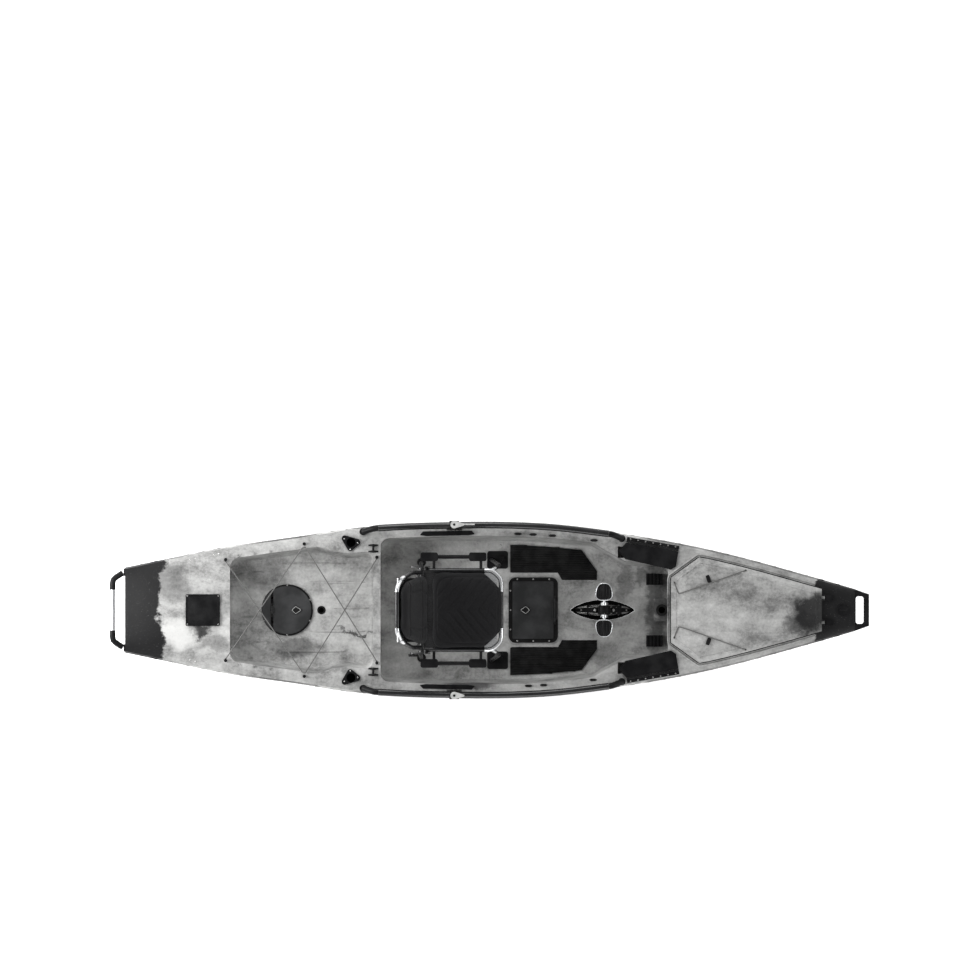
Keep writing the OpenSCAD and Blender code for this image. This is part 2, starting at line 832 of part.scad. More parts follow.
module rod_cover_hinge() {
    color("black")
        port_and_starboard()
            at_cover()
                difference() {
                    union() {
                        knuckle_row(0, hinge_r);
                        for (k = [0:2:knuckles - 1])
                            translate([k * cover_len / knuckles + 0.5, 0, -hinge_rise])
                                cube([cover_len / knuckles - 1, 24, 4]);
                        translate([0, 7, -hinge_rise]) cube([cover_len, 17, 4]);
                    }
                    translate([-1, 0, 0]) rotate([0, 90, 0]) cylinder(r = pin_r + run, h = cover_len + 2);
                }
}

module rod_cover() {
    color("black")
        at_cover() {
            knuckle_row(1, hinge_r);
            rotate([0, 90, 0]) cylinder(r = pin_r, h = cover_len);
            for (k = [1:2:knuckles - 1])
                translate([k * cover_len / knuckles + 0.5, -10, -2]) cube([cover_len / knuckles - 1, 10, plate_t]);
            translate([0, 0, -2])
                linear_extrude(plate_t)
                    polygon([
                        [0, -hinge_r - gap], [cover_len, -hinge_r - gap], [cover_len, -cover_w + 22],
                        [cover_len - 24, -cover_w], [10, -cover_w + 14], [-34, -58]
                    ]);
        }
}

module rod_cover_port() {
    rod_cover();
}

module rod_cover_starboard() {
    mirror([0, 1, 0]) rod_cover();
}

// ---- Forward cockpit ----

block_x = 856;
block_y = 138;
block_l = 90;
block_w = 62;
block_h = 40;
block_rib = 10;
module foot_blocks() {
    color("black")
        port_and_starboard()
            translate([block_x, block_y, cockpit_floor + 0.3]) {
                cube([block_l, block_w, block_h]);
                for (i = [0:4]) translate([i * block_rib * 2, 0, block_h - 1]) cube([block_rib, block_w, 9]);
            }
}

module mast_receiver() {
    color("black")
        difference() {
            union() {
                translate([mast_x, 0, mast_z + 0.3]) cylinder(r = mast_out + 9, h = 8);
                translate([mast_x, 0, mast_z - mast_depth]) cylinder(r = mast_out, h = mast_depth + 1);
            }
            translate([mast_x, 0, mast_z - mast_depth + 5]) cylinder(r = mast_bore, h = mast_depth + 10);
        }
}

// ---- Rod holders ----

bezel_r = 17;
function holder_z() = deck_z(rod_x, rod_y() - 50) + 1.5;
module rod_holder() {
    z = holder_z();
    out = rod_bore + rod_wall;
    color("black")
        translate([rod_x, rod_y(), z])
            difference() {
                union() {
                    translate([0, 0, -rod_depth - 4]) cylinder(r = out, h = rod_depth + 8);
                    hull()
                        for (p = [[-34, 22], [34, 2], [-4, -30]])
                            translate(p) cylinder(r = bezel_r, h = 6, $fn = 32);
                }
                translate([0, 0, -rod_depth]) cylinder(r = rod_bore, h = rod_depth + 10);
            }
}

module rod_holder_port() {
    rod_holder();
}

module rod_holder_starboard() {
    mirror([0, 1, 0]) rod_holder();
}

// ---- Side rails and steering ----

rail_x0 = -612;
rail_x1 = 650;
rail_in = 12; // from the gunwale to the rail's middle
function rail_point(x) =
    [x, half_beam(x) - rail_in, mix(rim_z(rail_x0), rim_z(rail_x1), (x - rail_x0) / (rail_x1 - rail_x0)) + rail_rise];
module side_rail() {
    color("black")
        sweep([for (i = [0:14]) rail_point(mix(rail_x0, rail_x1, i / 14))], rail_r, 12);
}

module side_rail_port() {
    side_rail();
}

module side_rail_starboard() {
    mirror([0, 1, 0]) side_rail();
}

// End bracket: an elbow from the rail's end down to a foot on the side deck
module rail_end(x, out, foot) {
    p = rail_point(x);
    f = [x + foot, half_beam(x + foot) - 26, rim_z(x + foot) + 16];
    along = unit(p - rail_point(x - 40 * out));
    bent([p + 0.5 * along, p + 24 * along, f], rail_r - 2, 14);
    translate([f[0], f[1], rim_z(f[0]) + 0.8]) cylinder(r = rail_r + 1, h = 15);
}

module rail_brackets() {
    color("black")
        port_and_starboard() {
            rail_end(rail_x0, -1, -83);
            rail_end(rail_x1, 1, 72);
        }
}

post_x = -196;
post_pin_r = 7;
post_top = 52; // from the rail's middle up to the steering handle
module steering_post() {
    p = rail_point(post_x);
    base = rim_z(post_x) + 1;
    color("black")
        difference() {
            union() {
                hull() {
                    translate([post_x - 42, p[1] - 26, base]) cube([84, 22, 6]);
                    translate([post_x - 25, p[1] - rail_r - 7, p[2] - 8]) cube([50, 2 * rail_r + 12, 8]);
                }
                translate([post_x - 25, p[1] - rail_r - 7, p[2] - 4]) cube([50, 2 * rail_r + 12, rail_r + 12]);
                translate([post_x, p[1] + 4, p[2] + rail_r]) cylinder(r = 14, h = post_top - rail_r);
                translate([post_x, p[1] + 4, p[2] + post_top]) cylinder(r = post_pin_r, h = 12);
            }
            translate([post_x - 60, p[1], p[2]]) rotate([0, 90, 0]) cylinder(r = rail_r + 1.2, h = 120);
        }
}

module steering_post_port() {
    steering_post();
}

module steering_post_starboard() {
    mirror([0, 1, 0]) steering_post();
}

module steering_handle() {
    p = rail_point(post_x);
    translate([post_x, p[1] + 4, p[2] + post_top + 0.4])
        difference() {
            hull() {
                cylinder(r = 21, h = 13, $fn = 32);
                translate([50, 0, 2]) cylinder(r = 6, h = 9, $fn = 32);
            }
            translate([0, 0, -1]) cylinder(r = post_pin_r + run, h = 20);
        }
}

module steering_handle_port() {
    p = rail_point(post_x);
    color("gray") steering_handle();
    color("black")
        translate([post_x + 48, p[1] + 1, p[2] + post_top + 3]) cube([64, 8, 6]);
}

module steering_handle_starboard() {
    color("gray") mirror([0, 1, 0]) steering_handle();
}

module gunwale_pads() {
    color("black")
        port_and_starboard()
            translate([0, 0, deck_z(-83, half_beam(-83) - 68) + 0.4])
                linear_extrude(7)
                    polygon([
                        [-385, half_beam(-385) - 62], [-350, half_beam(-350) - 68], [-118, half_beam(-118) - 68],
                        [-83, half_beam(-83) - 62], [-100, half_beam(-100) - 42], [-368, half_beam(-368) - 42]
                    ]);
}

module cleat(x, s) {
    y = half_beam(x) - 58;
    translate([x, s * y, deck_z(x, y - 7) + 0.4]) {
        translate([-14, -7, 0]) cube([28, 14, 5]);
        cylinder(r = 5, h = 14);
        translate([-20, 0, 14]) rotate([0, 90, 0]) cylinder(r = 4, h = 40);
    }
}

module cleats() {
    color("black") {
        for (x = [153, 236, 342, 570]) cleat(x, 1);
        for (x = [211, 294, 565]) cleat(x, -1);
    }
}

// ---- Screws ----

screw_r = 4.5;
module screw(x, y, z) {
    translate([x, y, z]) cylinder(r = screw_r, h = 2);
}

module deck_screws() {
    color("silver") {
        for (x = [cover_x0 + 9, cover_x1 - 9], y = [-1, 1]) screw(x, y * (cover_y - 9), cover_z() + cover_t);
        for (a = [25, 90, 155, 205, 270, 335])
            screw(round_x + (ring_r - 4.5) * cos(a), (ring_r - 4.5) * sin(a), well_floor + ring_t);
        for (x = [-1:1], y = [-1, 1])
            screw(bay_x + x * bay_hatch_l * 0.42, y * (bay_hatch_w / 2 + frame_edge - 10), cockpit_floor + ring_t);
        for (y = [-1:1])
            screw(bay_x - bay_hatch_l / 2 - frame_edge + 10, y * bay_hatch_w * 0.36, cockpit_floor + ring_t);
        port_and_starboard() {
            at_cover()
                for (i = [0:6]) translate([20 + i * (cover_len - 40) / 6, 16, -hinge_rise + 4]) cylinder(r = 4, h = 2);
            for (x = [0, 60]) screw(x, 356, cockpit_floor);
        }
    }
}

// ---- Cargo well's cords ----

function hook(x, y) = [x, y, deck_z(x, y) + 1.3];
aft_hook = hook(well_x0 - 24, half_beam(well_x0) - 74);
mid_hook = hook(well_x0 + 407, half_beam(well_x0 + 407) - 46);
fore_hook = hook((well_x1 + cockpit_x0) / 2, 290);
hook_base = 10;
hook_cap = 25; // up to the underside of the cap that keeps the cords on
module cargo_hooks() {
    color("black")
        port_and_starboard()
            for (p = [aft_hook, mid_hook, fore_hook])
                translate(p) {
                    cylinder(r = 9, h = hook_base);
                    cylinder(r = 3.5, h = hook_cap + 1);
                    translate([0, 0, hook_cap]) cylinder(r = 9, h = 4);
                }
}

// Zigzag from side to side, beside each hook's stem
function cord_at(p, side, lift) = [p[0], side * (p[1] - 8), p[2] + lift];
module cargo_cord(side, lift) {
    sweep([
        cord_at(aft_hook, side, lift), cord_at(mid_hook, -side, lift), cord_at(fore_hook, side, lift)
    ], cord_r);
}

module cargo_cords() {
    low = hook_base + cord_r + 0.3;
    color("black") {
        cargo_cord(1, low);
        cargo_cord(-1, low + 2 * cord_r + 0.7);
    }
}

module scupper_sleeve() {
    z0 = keel_z(drain_x) + 1;
    color("dimgray")
        translate([drain_x, 0, z0])
            difference() {
                union() {
                    cylinder(r = drain_r + 3, h = well_floor - z0 + 1);
                    translate([0, 0, well_floor - z0 + 0.3]) cylinder(r = drain_r + 8, h = 3);
                }
                translate([0, 0, -1]) cylinder(r = drain_r, h = well_floor + 20);
            }
}

mat_t = 6;
module floor_mat() {
    edge = side_deck + draft + cove_r + 4;
    color("black")
        translate([0, 0, cockpit_floor])
            linear_extrude(mat_t)
                polygon([
                    [111, 205], [372, 205], [394, 165], [586, 165], [586, 214], [502, half_beam(502) - edge],
                    [300, half_beam(300) - edge], [111, half_beam(111) - edge]
                ]);
}

module floor_mat_port() {
    floor_mat();
}

module floor_mat_starboard() {
    mirror([0, 1, 0]) floor_mat();
}

// ---- Seat ----

seat_x0 = -385;
seat_x1 = seat_x0 + seat_l + 45;
tube_y = seat_w / 2 - seat_tube_r;
tube_z = seat_z + seat_tube_r;
back_x = -372;
back_z = seat_z + 75;
back_pin_r = 8;
ear_y = seat_w / 2 + 2;
ear_t = 8;
foot_x = 50;
foot_y = 275;
foot_t = 6;
wheel_x = back_x - 48;
wheel_z = back_z - 12;
wheel_pin_r = 6;
module seat_frame() {
    color("dimgray") {
        difference() {
            union() {
                bent([
                    [seat_x0, tube_y, tube_z], [seat_x1 - 50, tube_y, tube_z], [seat_x1, tube_y - 45, tube_z],
                    [seat_x1, -tube_y + 45, tube_z], [seat_x1 - 50, -tube_y, tube_z], [seat_x0, -tube_y, tube_z]
                ], seat_tube_r);
                rod([seat_x0 + 12, -tube_y, tube_z], [seat_x0 + 12, tube_y, tube_z], seat_tube_r);
                translate([seat_x0 + 12, -tube_y, tube_z - 3]) cube([seat_x1 - seat_x0 - 34, 2 * tube_y, 6]);
                port_and_starboard() {
                    bent([
                        [seat_x1 - 50, tube_y, tube_z], [seat_x1 - 8, tube_y + 28, tube_z - 55],
                        [foot_x - 42, foot_y, cockpit_floor + foot_t + 2.4]
                    ], seat_tube_r - 2);
                    bent([
                        [seat_x0 + 12, tube_y, tube_z], [seat_x0 + 4, tube_y + 30, tube_z - 70],
                        [seat_x0 + 10, tube_y + 44, cockpit_floor + 2]
                    ], seat_tube_r - 2);
                    translate([seat_x0 + 10, tube_y + 44, cockpit_floor + 0.3]) cylinder(r = 24, h = 5);
                    hull() {
                        translate([back_x, ear_y, back_z]) rotate([-90, 0, 0]) cylinder(r = 22, h = ear_t, $fn = 32);
                        translate([wheel_x, ear_y, wheel_z]) rotate([-90, 0, 0]) cylinder(r = 18, h = ear_t, $fn = 32);
                        translate([seat_x0 + 8, ear_y, tube_z - 12]) cube([50, ear_t, 12]);
                    }
                    translate([seat_x0 + 8, tube_y, tube_z - 10]) cube([40, ear_y - tube_y + 1, 10]);
                    translate([back_x, ear_y - 16, back_z]) rotate([-90, 0, 0]) cylinder(r = back_pin_r, h = 17);
                }
            }
            translate([wheel_x, -ear_y - ear_t - 1, wheel_z])
                rotate([-90, 0, 0]) cylinder(r = wheel_pin_r + run, h = ear_t + 2);
        }
    }
}

module seat_cushion() {
    color("darkslategray")
        translate([0, 0, seat_z + 2 * seat_tube_r + 0.4])
            round_plate(seat_x0 + 65, seat_x1 + 8, -tube_y + 4, tube_y - 4, 36, 50);
}

arm_y = seat_w / 2 + 62;
arm_z = tube_z + 6;
module armrests() {
    color("black")
        port_and_starboard() {
            rod([seat_x0 + 12, arm_y, arm_z], [seat_x1 - 90, arm_y, arm_z], 11);
            for (x = [seat_x0 + 78, seat_x1 - 110])
                rod([x, arm_y, arm_z], [x, seat_w / 2 + 0.6, tube_z], 8);
            for (x = [seat_x0 + 4, seat_x1 - 175])
                translate([0, 0, arm_z + 4]) round_plate(x, x + 96, arm_y - 24, arm_y + 24, 18, 12);
        }
}

knob_pin_r = 6;
knob_x = foot_x + 14;
module seat_feet() {
    color("black")
        port_and_starboard() {
            translate([0, 0, cockpit_floor + 0.3])
                round_plate(foot_x - 66, foot_x + 49, foot_y - 48, foot_y + 48, foot_t, 14);
            translate([knob_x, foot_y, cockpit_floor + foot_t]) cylinder(r = knob_pin_r, h = 20);
        }
}

module seat_knob() {
    color("black")
        translate([knob_x, foot_y, cockpit_floor + foot_t + 0.8])
            difference() {
                union() {
                    cylinder(r = 17, h = 16);
                    for (a = [0:60:300])
                        translate([17 * cos(a), 17 * sin(a), 0]) cylinder(r = 4.5, h = 16);
                }
                translate([0, 0, -1]) cylinder(r = knob_pin_r + run, h = 20);
            }
}

module seat_knob_port() {
    seat_knob();
}

module seat_knob_starboard() {
    mirror([0, 1, 0]) seat_knob();
}

module at_back() {
    translate([back_x, 0, back_z]) rotate([0, -back_lean, 0]) children();
}

back_tube_y = seat_w / 2 - 25;
module back_frame() {
    lug_y = ear_y - 14;
    color("black")
        at_back() {
            difference() {
                union() {
                    bent([
                        [0, back_tube_y, 22], [0, back_tube_y, 0.4 * back_l], [0, back_tube_y - 35, 0.8 * back_l],
                        [0, 120, back_l - seat_tube_r], [0, -120, back_l - seat_tube_r],
                        [0, -back_tube_y + 35, 0.8 * back_l], [0, -back_tube_y, 0.4 * back_l],
                        [0, -back_tube_y, 22]
                    ], seat_tube_r - 1);
                    rod([0, -back_tube_y, 60], [0, back_tube_y, 60], 9);
                    translate([-3, -back_tube_y + 30, 60]) cube([6, 2 * back_tube_y - 60, back_l - 80]);
                    port_and_starboard() {
                        translate([0, lug_y, 0]) rotate([-90, 0, 0]) cylinder(r = 24, h = 12);
                        translate([-10, back_tube_y - 4, 12]) cube([20, lug_y - back_tube_y + 10, 30]);
                    }
                }
                port_and_starboard()
                    translate([0, lug_y - 6, 0]) rotate([-90, 0, 0]) cylinder(r = back_pin_r + run, h = 30);
            }
        }
}

module back_pad() {
    color("darkslategray")
        at_back()
            translate([seat_tube_r - 0.6, 0, 0])
                rotate([90, 0, 90])
                    linear_extrude(32)
                        polygon([
                            [-190, 16], [190, 16], [198, 110], [165, 0.78 * back_l], [115, back_l - 6],
                            [-115, back_l - 6], [-165, 0.78 * back_l], [-198, 110]
                        ]);
}

module recline_wheel() {
    color("black")
        translate([wheel_x, -ear_y - ear_t - 1, wheel_z])
            rotate([90, 0, 0]) {
                cylinder(r = 22, h = 14);
                for (a = [0:45:315])
                    translate([22 * cos(a), 22 * sin(a), 0]) cylinder(r = 5, h = 14);
                translate([0, 0, -ear_t - 1]) cylinder(r = wheel_pin_r, h = ear_t + 2);
            }
}

// ---- Drive ----

crank_x = 626;
crank_z = 162;
house_w = 25;
fin_z = -14;
fin_pin_r = 7;
fin_hub_r = 14;
fin_hub_l = 34;
fin_places = [592, 732];
plate_z = 4;
function well_outline(x0, x1, w) = [
    for (s = [1, -1], i = [0:16])
        let(t = s > 0 ? i / 16 : 1 - i / 16)
        [mix(x0, x1, t), s * (3 + (w - 3) * pow(sin(180 * t), 0.75) - lid_gap)]
];
module drive_housing() {
    color("dimgray")
        difference() {
            union() {
                translate([0, 0, plate_z])
                    linear_extrude(22)
                        polygon(well_outline(drive_x0 + 48, drive_x1 - 25, drive_well_w - 14));
                translate([0, 0, cockpit_floor - 70])
                    linear_extrude(16)
                        polygon(well_outline(drive_x0 + 1, drive_x1 - 1, drive_well_w));
                translate([crank_x - 95, -house_w, plate_z + 20]) cube([190, 2 * house_w, 96]);
                translate([crank_x, house_w, crank_z]) rotate([90, 0, 0]) cylinder(r = 34, h = 2 * house_w);
                translate([crank_x - 34, -house_w, plate_z + 100])
                    cube([68, 2 * house_w, crank_z - plate_z - 100]);
                translate([crank_x, house_w + 17, crank_z])
                    rotate([90, 0, 0]) cylinder(r = spindle_r, h = 2 * house_w + 34);
                for (x = [fin_places[0] - 32, (fin_places[0] + fin_places[1]) / 2 - 12, fin_places[1] + 20])
                    translate([x, -11, fin_z - 12])
                        cube([x > fin_places[0] && x < fin_places[1] ? 24 : 12, 22, plate_z - fin_z + 14]);
                rod([fin_places[0] - 30, 0, fin_z], [fin_places[1] + 30, 0, fin_z], fin_pin_r);
            }
        }
}

pedal_pin_r = 6;
arm_off = house_w + 9;
pedal_in = arm_off + 14;
pedal_out = pedal_in + 104;
module crank() {
    color("gray")
        translate([crank_x, 0, crank_z])
            difference() {
                union() {
                    translate([0, house_w + 1.5, 0]) rotate([-90, 0, 0]) cylinder(r = 22, h = 14);
                    rod([0, arm_off, 10], [0, arm_off, crank_l], 9);
                    translate([0, arm_off - 8, crank_l])
                        rotate([-90, 0, 0]) cylinder(r = 12, h = 17);
                    translate([0, arm_off, crank_l])
                        rotate([-90, 0, 0]) cylinder(r = pedal_pin_r, h = pedal_out - arm_off - 2);
                }
                translate([0, house_w, 0]) rotate([-90, 0, 0]) cylinder(r = spindle_r + run, h = 17.5);
            }
}

module crank_port() {
    crank();
}

module crank_starboard() {
    mirror([0, 1, 0]) crank();
}

module pedal() {
    color("black")
        translate([crank_x, pedal_in, crank_z + crank_l])
            difference() {
                union() {
                    rotate([-90, 0, 0]) cylinder(r = 13, h = pedal_out - pedal_in);
                    translate([-54, 4, 6]) round_plate(0, 106, 0, pedal_out - pedal_in - 8, 14, 20);
                    translate([-54, 14, 10]) cube([10, pedal_out - pedal_in - 28, 24]);
                }
                translate([0, -1, 0])
                    rotate([-90, 0, 0]) cylinder(r = pedal_pin_r + run, h = pedal_out - pedal_in + 2);
            }
}

module pedal_port() {
    pedal();
}

module pedal_starboard() {
    mirror([0, 1, 0]) pedal();
}

module fin_mast(x) {
    color("silver")
        difference() {
            union() {
                translate([x - fin_hub_l / 2, 0, fin_z]) rotate([0, 90, 0]) cylinder(r = fin_hub_r, h = fin_hub_l);
                translate([x, 0, fin_z - fin_l]) cylinder(r = mast_r, h = fin_l - 8);
            }
            translate([x - fin_hub_l / 2 - 1, 0, fin_z])
                rotate([0, 90, 0]) cylinder(r = fin_pin_r + run, h = fin_hub_l + 2);
        }
}

module fin_mast_front() {
    fin_mast(fin_places[1]);
}

module fin_mast_rear() {
    fin_mast(fin_places[0]);
}

module fin(x) {
    top = fin_z - 22;
    bottom = fin_z - fin_l - 22;
    color("black")
        difference() {
            hull() {
                translate([x, 0, bottom]) cylinder(r = 10, h = top - bottom, $fn = 32);
                translate([x - fin_w + 10, -1.5, bottom]) cube([2, 3, fin_l - 70]);
                translate([x - 40, -4, top - 30]) cube([2, 8, 6]);
            }
            translate([x, 0, fin_z - fin_l - 0.5]) cylinder(r = mast_r + run, h = fin_l + 20);
        }
}

module fin_front() {
    fin(fin_places[1]);
}

module fin_rear() {
    fin(fin_places[0]);
}

hull_shell();
stern_handle_arms();
stern_grip();
bow_handle();
bow_plug();
rudder_cover();
rudder_tube();
rudder_shaft();
rudder_blade();
board_pin();
centreboard();
round_hatch_ring();
round_hatch_lid();
round_hatch_latch();
bay_hatch_frame();
bay_hatch_lid();
bay_hatch_latch();
bow_hatch_hinge();
bow_hatch_lid();
bow_hatch_cords();
rod_cover_hinge();
rod_cover_port();
rod_cover_starboard();
foot_blocks();
mast_receiver();
rod_holder_port();
rod_holder_starboard();
side_rail_port();
side_rail_starboard();
rail_brackets();
steering_post_port();
steering_post_starboard();
steering_handle_port();
steering_handle_starboard();
gunwale_pads();
cleats();
deck_screws();
cargo_hooks();
cargo_cords();
scupper_sleeve();
floor_mat_port();
floor_mat_starboard();
seat_frame();
seat_cushion();
armrests();
seat_feet();
seat_knob_port();
seat_knob_starboard();
back_frame();
back_pad();
recline_wheel();
drive_housing();
crank_port();
crank_starboard();
pedal_port();
pedal_starboard();
fin_mast_front();
fin_mast_rear();
fin_front();
fin_rear();
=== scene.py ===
# Pedal kayak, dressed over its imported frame. Metres, X to the bow, Y to port, Z up.
import bmesh
import bpy
import json
import math
import numpy as np
from mathutils import Matrix, Vector

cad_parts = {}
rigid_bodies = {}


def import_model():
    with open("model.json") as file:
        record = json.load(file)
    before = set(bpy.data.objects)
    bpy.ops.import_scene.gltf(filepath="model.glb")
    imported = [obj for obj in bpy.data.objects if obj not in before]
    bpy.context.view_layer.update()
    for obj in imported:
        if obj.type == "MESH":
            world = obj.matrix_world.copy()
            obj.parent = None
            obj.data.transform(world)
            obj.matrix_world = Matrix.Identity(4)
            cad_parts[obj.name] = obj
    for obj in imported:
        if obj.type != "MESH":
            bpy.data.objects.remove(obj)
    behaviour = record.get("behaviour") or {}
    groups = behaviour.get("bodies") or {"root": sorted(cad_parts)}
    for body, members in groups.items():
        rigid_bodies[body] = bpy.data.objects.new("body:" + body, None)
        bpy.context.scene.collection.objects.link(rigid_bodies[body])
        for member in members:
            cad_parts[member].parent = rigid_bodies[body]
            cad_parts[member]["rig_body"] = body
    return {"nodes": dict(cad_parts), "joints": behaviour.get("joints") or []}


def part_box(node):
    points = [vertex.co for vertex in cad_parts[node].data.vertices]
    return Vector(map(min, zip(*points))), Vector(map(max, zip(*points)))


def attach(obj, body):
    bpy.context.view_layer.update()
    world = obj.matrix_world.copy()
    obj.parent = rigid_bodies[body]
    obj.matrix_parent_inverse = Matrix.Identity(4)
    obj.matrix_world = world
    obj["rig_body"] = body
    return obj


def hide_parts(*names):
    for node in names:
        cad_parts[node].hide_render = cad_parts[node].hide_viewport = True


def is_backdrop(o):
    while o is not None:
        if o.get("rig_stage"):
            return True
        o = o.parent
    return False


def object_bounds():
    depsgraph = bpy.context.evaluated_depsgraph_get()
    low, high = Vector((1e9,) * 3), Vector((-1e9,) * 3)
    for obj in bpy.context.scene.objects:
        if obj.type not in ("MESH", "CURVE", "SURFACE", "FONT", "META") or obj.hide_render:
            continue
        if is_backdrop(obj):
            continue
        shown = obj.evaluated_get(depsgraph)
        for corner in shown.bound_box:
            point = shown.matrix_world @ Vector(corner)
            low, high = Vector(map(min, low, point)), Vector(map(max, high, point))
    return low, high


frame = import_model()
nodes = frame["nodes"]
cadLow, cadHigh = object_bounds()
print("frame loaded:", len(nodes), "nodes")

# ---- plan camera, straight down, the bow to the right
planView = {"width": 5.37, "above": 4.0, "up": 0.658}
cameraData = bpy.data.cameras.new("planCamera")
cameraData.type = "ORTHO"
cameraData.ortho_scale = planView["width"]
camera = bpy.data.objects.new("planCamera", cameraData)
camera.location = (0, planView["up"], planView["above"])
bpy.context.scene.collection.objects.link(camera)
bpy.context.scene.camera = camera


# ---- shader shorthand
def put(tree, kind, inputs=None, out=0, **settings):
    # one node: settings first, then sockets, which take a value or another node's output
    node = tree.nodes.new("ShaderNode" + kind)
    for key, value in settings.items():
        setattr(node, key, value)
    for socket, value in (inputs or {}).items():
        if isinstance(value, bpy.types.NodeSocket):
            tree.links.new(value, node.inputs[socket])
        else:
            node.inputs[socket].default_value = value
    return node.outputs[out]


def noise(tree, at, scale, detail=4.0, rough=0.55, out=0):
    return put(tree, "TexNoise", {"Vector": at, "Scale": scale, "Detail": detail, "Roughness": rough}, out)


def math2(tree, operation, a, b=0.0, clamp=False):
    return put(tree, "Math", {0: a, 1: b}, operation=operation, use_clamp=clamp)


def fadeIn(tree, value, start, end):
    # 0 before start, 1 after end, smooth between them
    return put(tree, "MapRange", {0: value, 1: start, 2: end, 3: 0.0, 4: 1.0},
               interpolation_type="SMOOTHSTEP")


def blendColour(tree, amount, a, b, how="MIX"):
    node = tree.nodes.new("ShaderNodeMix")
    node.data_type = "RGBA"
    node.blend_type = how
    for socket, value in ((0, amount), (6, a), (7, b)):
        if isinstance(value, bpy.types.NodeSocket):
            tree.links.new(value, node.inputs[socket])
        else:
            node.inputs[socket].default_value = value if socket == 0 else (*value, 1)
    return node.outputs[2]


def stretch(tree, at, scale):
    return put(tree, "Mapping", {"Vector": at, "Scale": scale})


def startFinish(name, **fixed):
    material = bpy.data.materials.new(name)
    material.use_nodes = True
    tree = material.node_tree
    surface = tree.nodes["Principled BSDF"]
    for socket, value in fixed.items():
        surface.inputs[socket].default_value = value
    place = put(tree, "TexCoord", out=3)
    return material, tree, surface, place


def join(tree, surface, **links):
    for socket, value in links.items():
        tree.links.new(value, surface.inputs[socket.replace("_", " ")])


def mouldedPlastic(name, look):
    # mottled tone, pale scuffs along their own direction, pebbled grain
    material, tree, surface, place = startFinish(name, **{"Specular IOR Level": look.get("specular", 0.12)})
    tone = blendColour(tree, fadeIn(tree, noise(tree, place, look["mottle"]), 0.35, 0.68), look["dark"],
                       look["light"])
    scuffs = fadeIn(tree, noise(tree, stretch(tree, place, (14, 70, 40)), 2.2, 6, 0.7), 0.62, 0.8)
    dust = fadeIn(tree, noise(tree, place, 7, 8, 0.75), 0.5, 0.85)
    worn = math2(tree, "MULTIPLY", math2(tree, "MULTIPLY", scuffs, dust), look["wear"])
    join(tree, surface, Base_Color=blendColour(tree, worn, tone, look["scuff"]))
    gloss = put(tree, "MapRange",
                {0: noise(tree, place, 38, 5), 1: 0.3, 2: 0.7, 3: look["gloss"][0], 4: look["gloss"][1]})
    join(tree, surface, Roughness=math2(tree, "ADD", gloss, math2(tree, "MULTIPLY", worn, 0.2), True))
    grain = put(tree, "TexVoronoi", {"Vector": place, "Scale": look["grain"]}, feature="SMOOTH_F1")
    uneven = math2(tree, "ADD", grain, math2(tree, "MULTIPLY", noise(tree, place, look["grain"] * 0.12), 1.6))
    join(tree, surface,
         Normal=put(tree, "Bump", {"Height": uneven, "Strength": look["relief"], "Distance": 0.0006}))
    return material


def insideBox(tree, place, low, high):
    # 1 inside the box and 0 outside it
    inside = 1.0
    for axis, start, end in zip(put(tree, "SeparateXYZ", {0: place}).node.outputs, low, high):
        inside = math2(tree, "MULTIPLY", math2(tree, "GREATER_THAN", axis, start), inside)
        inside = math2(tree, "MULTIPLY", math2(tree, "LESS_THAN", axis, end), inside)
    return inside


def tubeMetal(name, look):
    # drawn tube: fine lines along X and Y, cloudy oxide, a few bright rubs
    material, tree, surface, place = startFinish(name, **{"Metallic": look["metal"]})
    cloud = noise(tree, place, 11, 6, 0.6)
    tone = blendColour(tree, fadeIn(tree, cloud, 0.3, 0.72), look["dark"], look["light"])
    rub = fadeIn(tree, noise(tree, stretch(tree, place, (6, 6, 60)), 5, 7, 0.72), 0.64, 0.76)
    rub = math2(tree, "MULTIPLY", rub, look["rub"])
    tone = blendColour(tree, rub, tone, look["bare"])
    for low, high in look.get("polishedWhere", []):
        inside = insideBox(tree, place, low, high)
        tone = blendColour(tree, inside, tone, look["polished"])
        metal = inside if not surface.inputs["Metallic"].links else math2(
            tree, "MAXIMUM", inside, surface.inputs["Metallic"].links[0].from_socket)
        join(tree, surface, Metallic=metal)
    join(tree, surface, Base_Color=tone)
    lines = noise(tree, stretch(tree, place, (30, 700, 700)), 3, 3, 0.5)
    gloss = put(tree, "MapRange", {0: lines, 1: 0.3, 2: 0.7, 3: look["gloss"][0], 4: look["gloss"][1]})
    join(tree, surface, Roughness=gloss)
    join(tree, surface, Normal=put(tree, "Bump", {"Height": lines, "Strength": 0.12, "Distance": 0.0004}))
    return material


